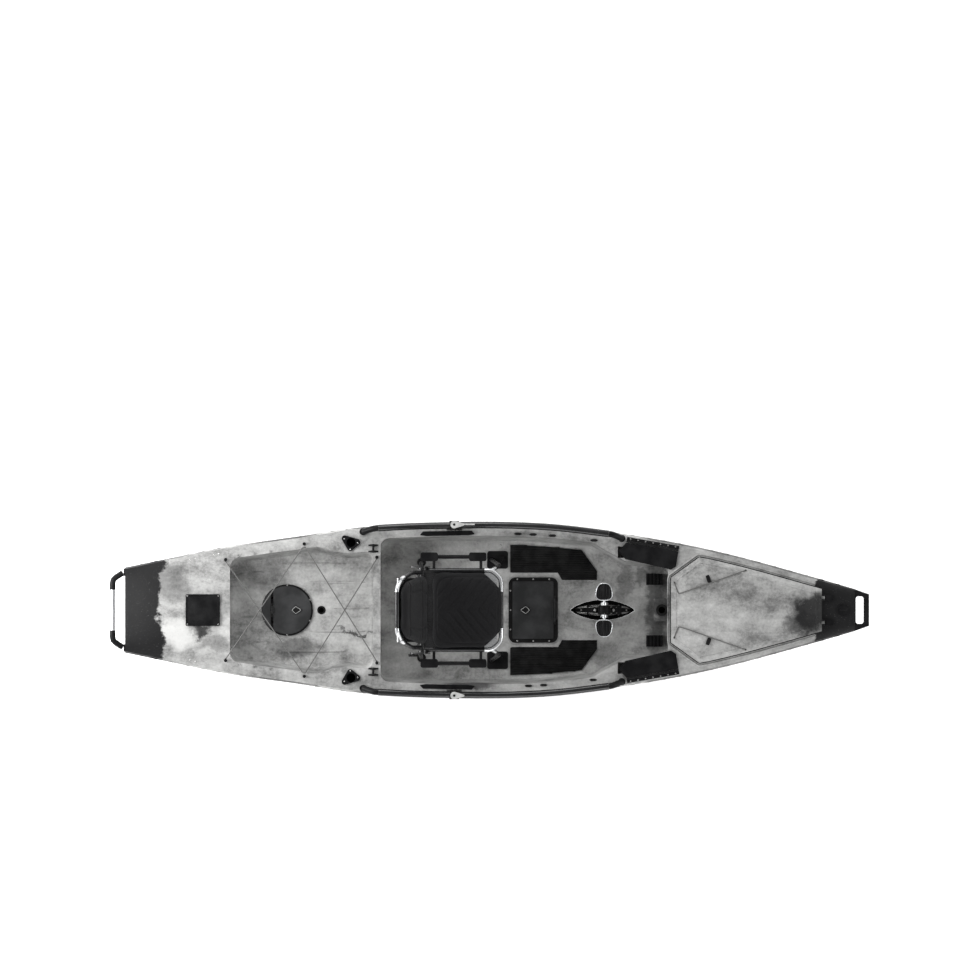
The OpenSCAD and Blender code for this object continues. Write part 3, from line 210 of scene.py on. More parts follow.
def wovenCloth(name, look):
    # plain weave: warp and weft are two sine ridges, each on top in turn, with soft shade and lint
    material, tree, surface, place = startFinish(name, **{
        "Sheen Weight": look["sheen"], "Sheen Roughness": 0.45, "Specular IOR Level": 0.15})
    axes = put(tree, "SeparateXYZ", {0: place})
    split = axes.node.outputs
    pitch = 2 * math.pi / look["thread"]
    across = math2(tree, "SINE", math2(tree, "MULTIPLY", math2(tree, "ADD", split[0], split[2]), pitch))
    along = math2(tree, "SINE", math2(tree, "MULTIPLY", split[1], pitch))
    weave = math2(tree, "MULTIPLY", across, along)
    tone = blendColour(tree, fadeIn(tree, weave, -0.7, 0.8), look["dark"], look["light"])
    fade = fadeIn(tree, noise(tree, place, 9, 6, 0.65), 0.42, 0.75)
    tone = blendColour(tree, math2(tree, "MULTIPLY", fade, 0.55), tone, look["faded"])
    lint = fadeIn(tree, noise(tree, place, 420, 3, 0.6), 0.71, 0.76)
    join(tree, surface, Base_Color=blendColour(tree, math2(tree, "MULTIPLY", lint, 0.3), tone, look["lint"]))
    join(tree, surface, Roughness=put(tree, "MapRange", {0: fade, 1: 0.0, 2: 1.0, 3: 0.72, 4: 0.9}))
    body = math2(tree, "ADD", weave, math2(tree, "MULTIPLY", noise(tree, place, 55, 4), 3))
    join(tree, surface, Normal=put(tree, "Bump", {"Height": body, "Strength": 0.5, "Distance": 0.0005}))
    return material


def braidedCord(name, look):
    # sheath of crossing yarns, from how far along and how far round the cord a point is
    material, tree, surface, place = startFinish(name, **{"Sheen Weight": 0.2})
    along = put(tree, "Attribute", out=2, attribute_name="along")
    around = put(tree, "Attribute", out=2, attribute_name="around")
    one = math2(tree, "ADD", math2(tree, "MULTIPLY", along, look["twist"]),
                math2(tree, "MULTIPLY", around, 4))
    two = math2(tree, "SUBTRACT", math2(tree, "MULTIPLY", along, look["twist"]),
                math2(tree, "MULTIPLY", around, 4))
    yarns = math2(tree, "MAXIMUM", math2(tree, "SINE", one), math2(tree, "SINE", two))
    tone = blendColour(tree, fadeIn(tree, yarns, 0.1, 0.9), look["dark"], look["light"])
    dirt = fadeIn(tree, noise(tree, place, 30, 5), 0.45, 0.75)
    join(tree, surface, Base_Color=blendColour(tree, math2(tree, "MULTIPLY", dirt, 0.5), tone, look["dirt"]))
    join(tree, surface, Roughness=put(tree, "MapRange", {0: dirt, 1: 0.0, 2: 1.0, 3: 0.6, 4: 0.85}))
    join(tree, surface, Normal=put(tree, "Bump", {"Height": yarns, "Strength": 0.6, "Distance": 0.0004}))
    return material


# Hull finish: clouds of grey resin in a pale shell, black at both ends. A patch is
# (centre, radii, strength): strength over 0 darkens to black, under 0 lightens. Most patches are
# marks in the resin; the deck patches marked below in the cargo well and the footwell carry painted shade.
hullLook = {
    "deck": [(0.0, 0.10), (0.25, 0.20), (0.5, 0.33), (0.75, 0.44), (1.0, 0.54)],
    "side": [(0.0, 0.02), (0.3, 0.055), (0.5, 0.10), (0.75, 0.19), (1.0, 0.32)],
    "black": (0.007, 0.007, 0.0075),
    "stern": -1.80, "bow": 1.765,
    "ragged": 0.11,
    "deckPatchesAndShade": [
        ((-1.585, -0.115, 0.38), (0.075, 0.035, 0.3), 0.9), ((-1.50, -0.18, 0.38), (0.10, 0.05, 0.3), 0.3),
        ((-1.74, 0.16, 0.38), (0.10, 0.11, 0.3), 0.5), ((-1.72, -0.12, 0.38), (0.12, 0.10, 0.3), -0.7),
        # next line, second patch: painted shade in the cargo well, not a mark in the resin
        ((-1.05, -0.21, 0.22), (0.14, 0.06, 0.1), 0.55), ((-1.20, 0.18, 0.22), (0.12, 0.10, 0.1), 0.3),
        ((-0.73, -0.12, 0.22), (0.09, 0.012, 0.1), 0.8), ((-0.12, -0.40, 0.36), (0.16, 0.045, 0.1), 0.7),
        ((0.14, 0.40, 0.36), (0.12, 0.05, 0.1), 0.35), ((0.73, 0.16, 0.12), (0.05, 0.18, 0.06), 0.42),
        # next line, second patch, and the first patch on the line after: the footwell floor and the mast
        # step's top darkened, partly dark marbling and partly painted shade of the low footwell
        ((0.62, -0.25, 0.12), (0.13, 0.06, 0.06), 0.35), ((0.91, 0.0, 0.12), (0.07, 0.26, 0.06), 0.66),
        ((0.94, 0.0, 0.30), (0.11, 0.13, 0.09), 0.8), ((0.83, 0.20, 0.12), (0.05, 0.05, 0.06), 0.5),
        ((1.76, 0.0, 0.40), (0.13, 0.14, 0.12), 0.95), ((1.69, -0.06, 0.40), (0.10, 0.08, 0.12), 0.7),
    ],
    "sidePatches": [
        ((-1.50, 0.0, 0.24), (0.30, 2.0, 0.14), -0.75), ((-1.14, 0.0, 0.27), (0.15, 2.0, 0.17), 0.55),
        ((-1.17, 0.0, 0.135), (0.17, 2.0, 0.045), 0.95), ((-0.86, 0.0, 0.19), (0.15, 2.0, 0.10), -0.5),
        ((-0.86, 0.0, 0.335), (0.14, 2.0, 0.03), -0.8), ((0.74, 0.0, 0.325), (0.13, 2.0, 0.03), -0.8),
        ((1.16, 0.0, 0.095), (0.30, 2.0, 0.04), 0.95), ((0.98, 0.0, 0.19), (0.05, 2.0, 0.05), 0.8),
        ((1.10, 0.0, 0.17), (0.04, 2.0, 0.04), 0.8), ((0.55, 0.0, 0.20), (0.14, 2.0, 0.12), -0.3),
        ((1.45, 0.0, 0.23), (0.22, 2.0, 0.11), -0.35), ((0.0, 0.0, 0.03), (1.6, 2.0, 0.05), 0.6),
    ],
}


def marbledShell(name, look, patches, seed=(0, 0, 0)):
    material, tree, surface, place = startFinish(name, **{"Specular IOR Level": 0.22})
    moved = put(tree, "Mapping", {"Vector": place, "Location": seed})
    axes = put(tree, "SeparateXYZ", {0: place}).node.outputs
    lean = put(tree, "SeparateXYZ", {0: put(tree, "TexCoord", out=1)}).node.outputs[2]
    swirl = noise(tree, stretch(tree, moved, (0.7, 1.3, 1.3)), 4.2, 9, 0.7)
    cloud = noise(tree, moved, 9, 8, 0.66)
    mottle = noise(tree, moved, 70, 5, 0.7)
    warp = put(tree, "VectorMath", {0: noise(tree, moved, 7, 8, 0.68, 1), 1: (0.5, 0.5, 0.5)},
               operation="SUBTRACT")
    warp = put(tree, "VectorMath", {0: warp, "Scale": look["ragged"] * 2}, operation="SCALE")
    bent = put(tree, "VectorMath", {0: place, 1: warp}, operation="ADD")
    tone = math2(tree, "ADD", math2(tree, "MULTIPLY", swirl, 0.55), math2(tree, "MULTIPLY", cloud, 0.33))
    tone = math2(tree, "ADD", tone, math2(tree, "MULTIPLY", mottle, 0.22))
    tone = put(tree, "MapRange", {0: tone, 1: 0.40, 2: 0.70, 3: 0.0, 4: 1.0})

    def greys(stops):
        ramp = tree.nodes.new("ShaderNodeValToRGB")
        for i, (where, grey) in enumerate(stops):
            stop = ramp.color_ramp.elements[i] if i < 2 else ramp.color_ramp.elements.new(where)
            stop.position, stop.color = where, (grey, grey, grey * 0.985, 1)
        tree.links.new(tone, ramp.inputs[0])
        return ramp.outputs[0]

    def patched(colour, listed):
        for centre, size, strength in listed:
            away = put(tree, "VectorMath", {0: bent, 1: centre}, operation="SUBTRACT")
            away = put(tree, "VectorMath", {0: away, 1: size}, operation="DIVIDE")
            reach = put(tree, "VectorMath", {0: away}, 1, operation="LENGTH")
            amount = math2(tree, "MULTIPLY", fadeIn(tree, reach, 1.15, 0.55), abs(strength))
            target = look["black"] if strength > 0 else (0.58, 0.58, 0.57)
            colour = blendColour(tree, amount, colour, target)
        return colour

    deck = patched(greys(sorted(look["deck"])), patches["deckPatchesAndShade"])
    side = patched(greys(sorted(look["side"])), patches["sidePatches"])
    # outside faces look sideways or down; recess walls do too, but not this far from the middle
    under = fadeIn(tree, lean, 0.12, -0.12)
    flank = fadeIn(tree, lean, 0.62, 0.30)
    wide = put(tree, "FloatCurve", {1: put(tree, "MapRange", {0: axes[0], 1: -2.0, 2: 2.0, 3: 0.0, 4: 1.0})})
    curve = wide.node.mapping.curves[0]
    for x, half in look["beam"]:
        curve.points.new((x + 2) / 4, half)
    wide.node.mapping.update()
    out = fadeIn(tree, math2(tree, "SUBTRACT", math2(tree, "ABSOLUTE", axes[1]), wide), -0.024, -0.010)
    sides = math2(tree, "MAXIMUM", under, math2(tree, "MULTIPLY", flank, out))
    colour = blendColour(tree, sides, deck, side)
    # black ends with a torn edge
    torn = put(tree, "SeparateXYZ", {0: bent}).node.outputs[0]
    ends = math2(tree, "MAXIMUM", fadeIn(tree, torn, look["stern"] + 0.012, look["stern"] - 0.012),
                 fadeIn(tree, torn, look["bow"] - 0.008, look["bow"] + 0.008))
    colour = blendColour(tree, ends, colour, look["black"])
    # resin specks and dark streaks of the second colour
    speck = fadeIn(tree, noise(tree, moved, 210, 3, 0.6), 0.63, 0.72)
    where = fadeIn(tree, noise(tree, moved, 5, 6, 0.7), 0.38, 0.66)
    colour = blendColour(tree, math2(tree, "MULTIPLY", math2(tree, "MULTIPLY", speck, where), 0.75), colour,
                         (0.05, 0.05, 0.05))
    pale = fadeIn(tree, noise(tree, moved, 260, 2, 0.5), 0.68, 0.76)
    colour = blendColour(tree, math2(tree, "MULTIPLY", pale, 0.2), colour, (0.75, 0.75, 0.74))
    streak = fadeIn(tree, noise(tree, stretch(tree, moved, (3, 22, 22)), 2.6, 9, 0.74), 0.66, 0.76)
    colour = blendColour(tree, math2(tree, "MULTIPLY", streak, 0.55), colour, (0.07, 0.07, 0.07))
    join(tree, surface, Base_Color=colour)
    join(tree, surface, Roughness=put(tree, "MapRange", {0: cloud, 1: 0.3, 2: 0.7, 3: 0.42, 4: 0.6}))
    peel = math2(tree, "ADD", noise(tree, moved, 140, 3),
                 math2(tree, "MULTIPLY", noise(tree, moved, 18, 3), 2))
    join(tree, surface, Normal=put(tree, "Bump", {"Height": peel, "Strength": 0.25, "Distance": 0.0012}))
    return material


# ---- mesh helpers
def makeObject(name, points, faces, body, material, smooth=True):
    mesh = bpy.data.meshes.new(name)
    mesh.from_pydata(np.asarray(points, float).reshape(-1, 3).tolist(), [],
                     [list(map(int, f)) for f in faces])
    mesh.materials.append(material)
    mesh.polygons.foreach_set("use_smooth", np.full(len(mesh.polygons), smooth))
    obj = bpy.data.objects.new(name, mesh)
    bpy.context.scene.collection.objects.link(obj)
    fixNormals(mesh)
    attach(obj, body)
    return obj


def fixNormals(mesh):
    bm = bmesh.new()
    bm.from_mesh(mesh)
    bmesh.ops.remove_doubles(bm, verts=bm.verts, dist=1e-6)
    bmesh.ops.recalc_face_normals(bm, faces=bm.faces)
    bm.to_mesh(mesh)
    bm.free()


def gridFaces(rows, columns, closed=True):
    # quads between neighbouring rows, the last column joined to the first when closed
    r, c = np.meshgrid(np.arange(rows - 1), np.arange(columns if closed else columns - 1), indexing="ij")
    a = r * columns + c
    b = r * columns + (c + 1) % columns
    return np.stack([a, b, b + columns, a + columns], -1).reshape(-1, 4)


def capped(rows, columns):
    # those quads, and one face over each end
    ends = [np.arange(columns)[::-1], np.arange(columns) + (rows - 1) * columns]
    return list(gridFaces(rows, columns)) + ends


def stacked(levels):
    # plan outlines, each lifted to its own height
    return np.concatenate([np.column_stack([plan, np.full(len(plan), z)]) for plan, z in levels])


def tubePoints(path, radius, sides=14, squash=1.0, loop=False):
    # a circle of that radius carried square to the path, its height scaled by squash
    path = np.asarray(path, float)
    step = np.gradient(path, axis=0)
    if loop:
        step = np.roll(path, -1, 0) - np.roll(path, 1, 0)
    step /= np.linalg.norm(step, axis=1, keepdims=True)
    beside = np.cross(step, (0, 0, 1))
    steep = np.linalg.norm(beside, axis=1) < 0.05
    beside[steep] = (0, 1, 0)
    beside /= np.linalg.norm(beside, axis=1, keepdims=True)
    over = np.cross(beside, step)
    turn = np.linspace(0, 2 * np.pi, sides, endpoint=False)
    r = np.broadcast_to(np.asarray(radius, float), len(path))[:, None, None]
    ring = np.cos(turn)[None, :, None] * beside[:, None] + squash * np.sin(turn)[None, :, None] * over[:,
                                                                                                       None]
    return path[:, None] + r * ring


def tube(name, path, radius, body, material, sides=14, squash=1.0, loop=False):
    points = tubePoints(path, radius, sides, squash, loop)
    if loop:
        points = np.concatenate([points, points[:1]])
    rows = len(points)
    faces = gridFaces(rows, sides) if loop else capped(rows, sides)
    return makeObject(name, points, faces, body, material)


def merged(name, pieces):
    # several objects of one body into one
    bpy.ops.object.select_all(action="DESELECT")
    for piece in pieces:
        piece.select_set(True)
    bpy.context.view_layer.objects.active = pieces[0]
    bpy.ops.object.join()
    pieces[0].name = pieces[0].data.name = name
    return pieces[0]


def resample(points, spacing):
    # the same polyline with a point every spacing or so
    points = np.asarray(points, float)
    run = np.concatenate([[0], np.cumsum(np.linalg.norm(np.diff(points, axis=0), axis=1))])
    at = np.linspace(0, run[-1], max(int(round(run[-1] / spacing)), 2) + 1)
    return np.stack([np.interp(at, run, points[:, k]) for k in range(3)], -1)


def easedPath(points, bend):
    # every inner corner becomes a parabola that starts and ends at bend from it
    points = [Vector(p) for p in points]
    made = [points[0]]
    for before, corner, after in zip(points, points[1:], points[2:]):
        a = corner + (before - corner).normalized() * bend
        b = corner + (after - corner).normalized() * bend
        made += [a.lerp(corner, t).lerp(corner.lerp(b, t), t) for t in (0, 0.2, 0.4, 0.6, 0.8, 1)]
    return np.array([tuple(p) for p in made + [points[-1]]])


def outline(node, zLow, zHigh):
    # convex outline in plan of a node's corners between two heights
    at = np.array([v.co for v in nodes[node].data.vertices])
    flat = np.unique(np.round(at[(at[:, 2] >= zLow) & (at[:, 2] <= zHigh)][:, :2], 5), axis=0)
    flat = flat[np.lexsort((flat[:, 1], flat[:, 0]))].tolist()

    def turnsLeft(a, b, c):
        return (b[0] - a[0]) * (c[1] - a[1]) > (b[1] - a[1]) * (c[0] - a[0])

    def half(points):
        kept = []
        for p in points:
            while len(kept) > 1 and not turnsLeft(kept[-2], kept[-1], p):
                kept.pop()
            kept.append(p)
        return kept[:-1]
    return np.array(half(flat) + half(flat[::-1]))


def dressed(node, material, edge=0.0012, name=None, weld=True):
    # a merged copy of a node with soft edges, which stands for it
    source = nodes[node]
    mesh = source.data.copy()
    mesh.materials.clear()
    mesh.materials.append(material)
    bm = bmesh.new()
    bm.from_mesh(mesh)
    bmesh.ops.remove_doubles(bm, verts=bm.verts, dist=2e-6)
    if weld:
        bmesh.ops.dissolve_limit(bm, angle_limit=math.radians(0.4), verts=bm.verts, edges=bm.edges)
    limit = math.radians(34)
    for e in bm.edges:
        e.smooth = not e.is_manifold or e.calc_face_angle(0) < limit
    for f in bm.faces:
        f.smooth = True
        f.material_index = 0
    bm.to_mesh(mesh)
    bm.free()
    words = node.split("_")
    obj = bpy.data.objects.new(name or words[0] + "".join(w.title() for w in words[1:]), mesh)
    bpy.context.scene.collection.objects.link(obj)
    if edge:
        bevel = obj.modifiers.new("softEdges", "BEVEL")
        bevel.width, bevel.segments, bevel.limit_method = edge, 2, "ANGLE"
        bevel.angle_limit = limit
        bevel.harden_normals = True
    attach(obj, source["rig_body"])
    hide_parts(node)
    return obj


# ---- finishes
blackPlastic = mouldedPlastic("blackPlastic", {
    "dark": (0.005, 0.005, 0.0055), "light": (0.012, 0.012, 0.0125), "scuff": (0.12, 0.12, 0.12), "wear": 0.4,
    "mottle": 14, "gloss": (0.3, 0.5), "grain": 900, "relief": 0.35})
hatchPlastic = mouldedPlastic("hatchPlastic", {
    "dark": (0.024, 0.0245, 0.025), "light": (0.045, 0.0455, 0.047), "scuff": (0.2, 0.2, 0.2), "wear": 0.5,
    "mottle": 8, "gloss": (0.45, 0.65), "grain": 1100, "relief": 0.5})
rimPlastic = mouldedPlastic("rimPlastic", {
    "dark": (0.007, 0.007, 0.007), "light": (0.015, 0.015, 0.015), "scuff": (0.15, 0.15, 0.15), "wear": 0.4,
    "mottle": 10, "gloss": (0.35, 0.5), "grain": 900, "relief": 0.4})
finRubber = mouldedPlastic("finRubber", {
    "dark": (0.007, 0.007, 0.007), "light": (0.016, 0.016, 0.017), "scuff": (0.09, 0.09, 0.09), "wear": 0.6,
    "mottle": 20, "gloss": (0.42, 0.66), "grain": 1500, "relief": 0.25})
matFoam = mouldedPlastic("matFoam", {
    "dark": (0.007, 0.007, 0.007), "light": (0.017, 0.017, 0.017), "scuff": (0.08, 0.08, 0.08), "wear": 0.5,
    "mottle": 16, "gloss": (0.75, 0.95), "grain": 1400, "relief": 0.9, "specular": 0.1})
greyPlastic = mouldedPlastic("greyPlastic", {
    "dark": (0.36, 0.365, 0.36), "light": (0.52, 0.52, 0.515), "scuff": (0.1, 0.1, 0.1), "wear": 0.4,
    "mottle": 25, "gloss": (0.3, 0.45), "grain": 900, "relief": 0.3})
railPaint = tubeMetal("railPaint", {
    "dark": (0.006, 0.006, 0.0065), "light": (0.014, 0.014, 0.015), "bare": (0.3, 0.3, 0.31), "rub": 0.15,
    "metal": 0.0, "gloss": (0.14, 0.24)})
seatTube = tubeMetal("seatTube", {
    "dark": (0.007, 0.007, 0.0075), "light": (0.016, 0.016, 0.017), "bare": (0.4, 0.4, 0.41), "rub": 0.2,
    "metal": 0.0, "gloss": (0.2, 0.32), "polished": (0.72, 0.73, 0.74),
    "polishedWhere": [((-0.03, 0.10, 0.475), (0.2, 0.236, 0.6)), ((-0.03, -0.236, 0.475), (0.2, -0.10, 0.6)),
                      ((-0.7, 0.10, 0.80), (-0.2, 0.25, 1.0)), ((-0.7, -0.25, 0.80), (-0.2, -0.10, 1.0))]})
satinAluminium = tubeMetal("satinAluminium", {
    "dark": (0.55, 0.56, 0.57), "light": (0.78, 0.79, 0.8), "bare": (0.9, 0.9, 0.9), "rub": 0.3,
    "metal": 1.0, "gloss": (0.26, 0.42)})
stainless = tubeMetal("stainless", {
    "dark": (0.5, 0.5, 0.49), "light": (0.72, 0.72, 0.71), "bare": (0.85, 0.85, 0.85), "rub": 0.3,
    "metal": 1.0, "gloss": (0.2, 0.34)})
seatCloth = wovenCloth("seatCloth", {
    "thread": 0.0032, "dark": (0.004, 0.004, 0.0045), "light": (0.013, 0.013, 0.014),
    "faded": (0.017, 0.017, 0.018), "lint": (0.1, 0.1, 0.1), "sheen": 0.04})
cordSheath = braidedCord("cordSheath", {
    "twist": 900.0, "dark": (0.03, 0.03, 0.03), "light": (0.17, 0.17, 0.165), "dirt": (0.09, 0.085, 0.08)})

hullPoints = np.array([v.co for v in nodes["hull_shell"].data.vertices])
stations = np.linspace(-1.99, 1.99, 41)
ringX = np.unique(np.round(hullPoints[:, 0], 3))
ringX = ringX[[np.sum(np.abs(hullPoints[:, 0] - x) < 6e-4) > 30 for x in ringX]]
ringHalf = np.array([np.abs(hullPoints[np.abs(hullPoints[:, 0] - x) < 6e-4][:, 1]).max() for x in ringX])
# stations at the hull's side only: the least half beam that one there may have
outer = ringHalf > np.interp(ringX, [-2.0, -1.3, -0.6, 0.0, 0.6, 1.3, 2.0],
                             [0.18, 0.30, 0.42, 0.44, 0.40, 0.24, 0.06])
ringX, ringHalf = ringX[outer], ringHalf[outer]
hullLook["beam"] = [(x, float(np.interp(x, ringX, ringHalf))) for x in stations[::4]]
marbledHullWithShade = marbledShell("marbledHullWithShade", hullLook, hullLook)
lidLook = dict(hullLook, stern=-9.0, bow=9.0)
marbledLid = marbledShell("marbledLid", lidLook, hullLook, (0.31, 0.12, 0.0))
print("finishes made:", len(bpy.data.materials))

# ---- hull and hard parts
hullSkin = dressed("hull_shell", marbledHullWithShade, 0, "hullSkin", weld=False)
lidSkin = dressed("bow_hatch_lid", marbledLid, 0, "lidSkin", weld=False)

hardParts = {
    "black_plastic": (blackPlastic, 0.0012, [
        "stern_handle_arms", "bow_handle", "bow_plug", "bow_hatch_hinge", "rod_cover_hinge", "rod_cover_port",
        "rod_cover_starboard", "foot_blocks", "rod_holder_port", "rod_holder_starboard", "rail_brackets",
        "steering_post_port", "steering_post_starboard", "gunwale_pads", "cleats", "cargo_hooks", "armrests",
        "seat_feet", "seat_knob_port", "seat_knob_starboard", "recline_wheel", "rudder_cover",
        "drive_housing"]),
    "hatch_plastic": (hatchPlastic, 0.0015, [
        "round_hatch_lid", "bay_hatch_lid"]),
    "hull_fitting": (rimPlastic, 0.001, [
        "round_hatch_ring", "bay_hatch_frame", "round_hatch_latch", "bay_hatch_latch", "scupper_sleeve",
        "mast_receiver",
        "rudder_tube", "rudder_shaft"]),
    "fin_rubber": (finRubber, 0.002, ["rudder_blade", "centreboard", "fin_front", "fin_rear"]),
    "rail_paint": (railPaint, 0, ["side_rail_port", "side_rail_starboard"]),
    "seat_frame_paint": (seatTube, 0.0008, ["seat_frame", "back_frame"]),
    "grey_plastic": (greyPlastic, 0.001, ["steering_handle_port", "steering_handle_starboard"]),
    "aluminium_tube": (satinAluminium, 0.0008,
                       ["stern_grip", "crank_port", "crank_starboard", "fin_mast_front", "fin_mast_rear"]),
    "stainless": (stainless, 0.0004, ["deck_screws", "board_pin"]),
    "mat_foam": (matFoam, 0.001, ["floor_mat_port", "floor_mat_starboard"]),
}
for slotName, (finish, edge, listed) in hardParts.items():
    for node in listed:
        dressed(node, finish, edge)
print("hard parts dressed")

# ---- soft pieces
def padOver(corners, thick, rise, rows=36, columns=150):
    # Closed pad over a convex outline. The edge's distance from the middle at each angle is the nearest
    # outline line, smoothed so the corners are round; sides pull in between corners; the section is a
    # flat-bottomed oval: sin^0.3 outwards, cos^0.7 upwards. Gives plan a, plan b and height over the base.
    corners = np.asarray(corners, float)
    middle = (corners.min(0) + corners.max(0)) / 2
    turn = np.linspace(0, 2 * np.pi, columns, endpoint=False)
    way = np.stack([np.cos(turn), np.sin(turn)], -1)
    a, b = corners - middle, np.roll(corners, -1, 0) - middle
    normal = np.stack([(b - a)[:, 1], -(b - a)[:, 0]], -1)
    normal /= np.linalg.norm(normal, axis=1, keepdims=True)
    offset = np.sum(normal * a, 1)
    normal[offset < 0] *= -1
    offset = np.abs(offset)
    facing = way @ normal.T
    reach = np.where(facing > 1e-4, offset / np.maximum(facing, 1e-4), 9).min(1)
    window = np.hanning(11) / np.hanning(11).sum()
    reach = np.convolve(np.concatenate([reach[-5:], reach, reach[:5]]), window, "valid")
    reach *= 1 - 0.022 * np.cos(2 * turn) ** 2
    down = np.linspace(0, np.pi, rows)[:, None]
    outward = np.sin(down) ** 0.3 * reach[None, :]
    side = np.sign(np.cos(down)) * np.abs(np.cos(down)) ** 0.7
    height = thick / 2 + np.where(side > 0, side * (thick / 2 + rise), side * thick / 2)
    plan = middle + outward[..., None] * way[None]
    return np.concatenate([plan, np.broadcast_to(height[..., None], plan.shape[:2] + (1,))], -1)


def remeshed(obj, voxel):
    modifier = obj.modifiers.new("voxels", "REMESH")
    modifier.mode, modifier.voxel_size, modifier.use_smooth_shade = "VOXEL", voxel, True
    return applied(obj)


def applied(obj):
    graph = bpy.context.evaluated_depsgraph_get()
    mesh = bpy.data.meshes.new_from_object(obj.evaluated_get(graph))
    obj.modifiers.clear()
    obj.data = mesh
    return obj


def swell(obj, look):
    # air pressure in a closed cloth for twenty frames, no point moving further than the cap
    start = np.empty(len(obj.data.vertices) * 3)
    obj.data.vertices.foreach_get("co", start)
    cloth = obj.modifiers.new("cloth", "CLOTH")
    cloth.settings.use_pressure = True
    cloth.settings.uniform_pressure_force = look["pressure"]
    cloth.settings.effector_weights.gravity = 0
    cloth.settings.quality = 4
    cloth.settings.tension_stiffness = cloth.settings.compression_stiffness = 12
    cloth.point_cache.frame_start, cloth.point_cache.frame_end = 1, 20
    for step in range(1, 21):
        bpy.context.scene.frame_set(step)
    swollen = obj.evaluated_get(bpy.context.evaluated_depsgraph_get()).data
    end = np.empty(len(start))
    swollen.vertices.foreach_get("co", end)
    obj.modifiers.clear()
    bpy.context.scene.frame_set(1)
    move = (end - start).reshape(-1, 3)
    far = np.linalg.norm(move, axis=1, keepdims=True)
    move *= np.minimum(1, look["cap"] / np.maximum(far, 1e-9))
    obj.data.vertices.foreach_set("co", (start.reshape(-1, 3) + move).ravel())


def sewn(obj, depthAt):
    # pushes each point in along its normal by depthAt(points, normals), then one subdivision
    count = len(obj.data.vertices)
    at, facing = np.empty(count * 3), np.empty(count * 3)
    obj.data.vertices.foreach_get("co", at)
    obj.data.vertices.foreach_get("normal", facing)
    at, facing = at.reshape(-1, 3), facing.reshape(-1, 3)
    obj.data.vertices.foreach_set("co", (at - facing * depthAt(at, facing)[:, None]).ravel())
    obj.data.polygons.foreach_set("use_smooth", np.full(len(obj.data.polygons), True))
    finer = obj.modifiers.new("finer", "SUBSURF")
    finer.levels = finer.render_levels = 1


def groove(distance, width):
    return np.exp(-(distance / width) ** 2)


seatLook = {"rise": 0.006, "voxel": 0.0055, "pressure": 3.0, "cap": 0.006, "chevron": 0.056, "slope": 0.85,
            "depth": 0.0055, "seam": 0.005, "quiltHalf": 0.168, "inset": 0.020}
padLow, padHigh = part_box("seat_cushion")
corner = 0.034
cut = 0.1  # front corners, inside the pan's bent tube
seatOutline = [(padLow[0] + corner, padLow[1]), (padHigh[0] - cut, padLow[1]), (padHigh[0], padLow[1] + cut),
               (padHigh[0], padHigh[1] - cut), (padHigh[0] - cut, padHigh[1]),
               (padLow[0] + corner, padHigh[1]),
               (padLow[0], padHigh[1] - corner), (padLow[0], padLow[1] + corner)]
shape = padOver(seatOutline, padHigh[2] - padLow[2], seatLook["rise"])
shape[..., 2] += padLow[2]
seatPad = makeObject("seatPad", shape, gridFaces(*shape.shape[:2]), nodes["seat_cushion"]["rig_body"],
                     seatCloth)
remeshed(seatPad, seatLook["voxel"])
swell(seatPad, seatLook)


def seatSeams(at, facing):
    # parallel V channels that point aft, inside one seam that runs round the quilted part
    middle = (padLow[0] + padHigh[0]) / 2
    halfLength = (padHigh[0] - padLow[0]) / 2 - seatLook["inset"]
    across, along = np.abs(at[:, 1]) / (seatLook["quiltHalf"] + 0.02), np.abs(at[:, 0] - middle) / halfLength
    edge = (across ** 5 + along ** 5) ** 0.2
    phase = (at[:, 0] - middle - seatLook["slope"] * np.abs(at[:, 1])) / seatLook["chevron"]
    near = np.abs(phase - np.round(phase)) * seatLook["chevron"] / math.hypot(1, seatLook["slope"])
    inside = np.clip((0.97 - edge) / 0.05, 0, 1)
    top = np.clip(facing[:, 2] * 2, 0, 1)
    channels = groove(near, seatLook["seam"]) * inside
    border = groove((edge - 0.97) * halfLength, seatLook["seam"])
    spine = 0.7 * groove(at[:, 1], 0.004) * inside
    return top * seatLook["depth"] * np.maximum(np.maximum(channels, border), spine)


sewn(seatPad, seatSeams)
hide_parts("seat_cushion")

backLook = {"lean": math.radians(23), "rise": 0.004, "voxel": 0.0055, "pressure": 3.0, "cap": 0.006,
            "start": 0.0125,
            "thick": 0.031, "depth": 0.005, "seam": 0.005,
            "outline": [(-0.186, 0.02), (0.186, 0.02), (0.194, 0.11), (0.162, 0.284), (0.112, 0.355),
                        (-0.112, 0.355), (-0.162, 0.284), (-0.194, 0.11)]}
backPivot = next(j for j in frame["joints"] if j["name"] == "seat_back_fold")["pos_m"]


def leanedBack(out, side, up):
    # the back's own out, side and up, turned back by its lean about its pivot
    c, s = math.cos(backLook["lean"]), math.sin(backLook["lean"])
    return np.stack([backPivot[0] + out * c - up * s, side + 0 * up, backPivot[2] + out * s + up * c], -1)


shape = padOver(backLook["outline"], backLook["thick"], backLook["rise"])
shape = leanedBack(backLook["start"] + shape[..., 2], shape[..., 0], shape[..., 1])
backPad = makeObject("backPad", shape, gridFaces(*shape.shape[:2]), nodes["back_pad"]["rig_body"], seatCloth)
remeshed(backPad, backLook["voxel"])
swell(backPad, backLook)


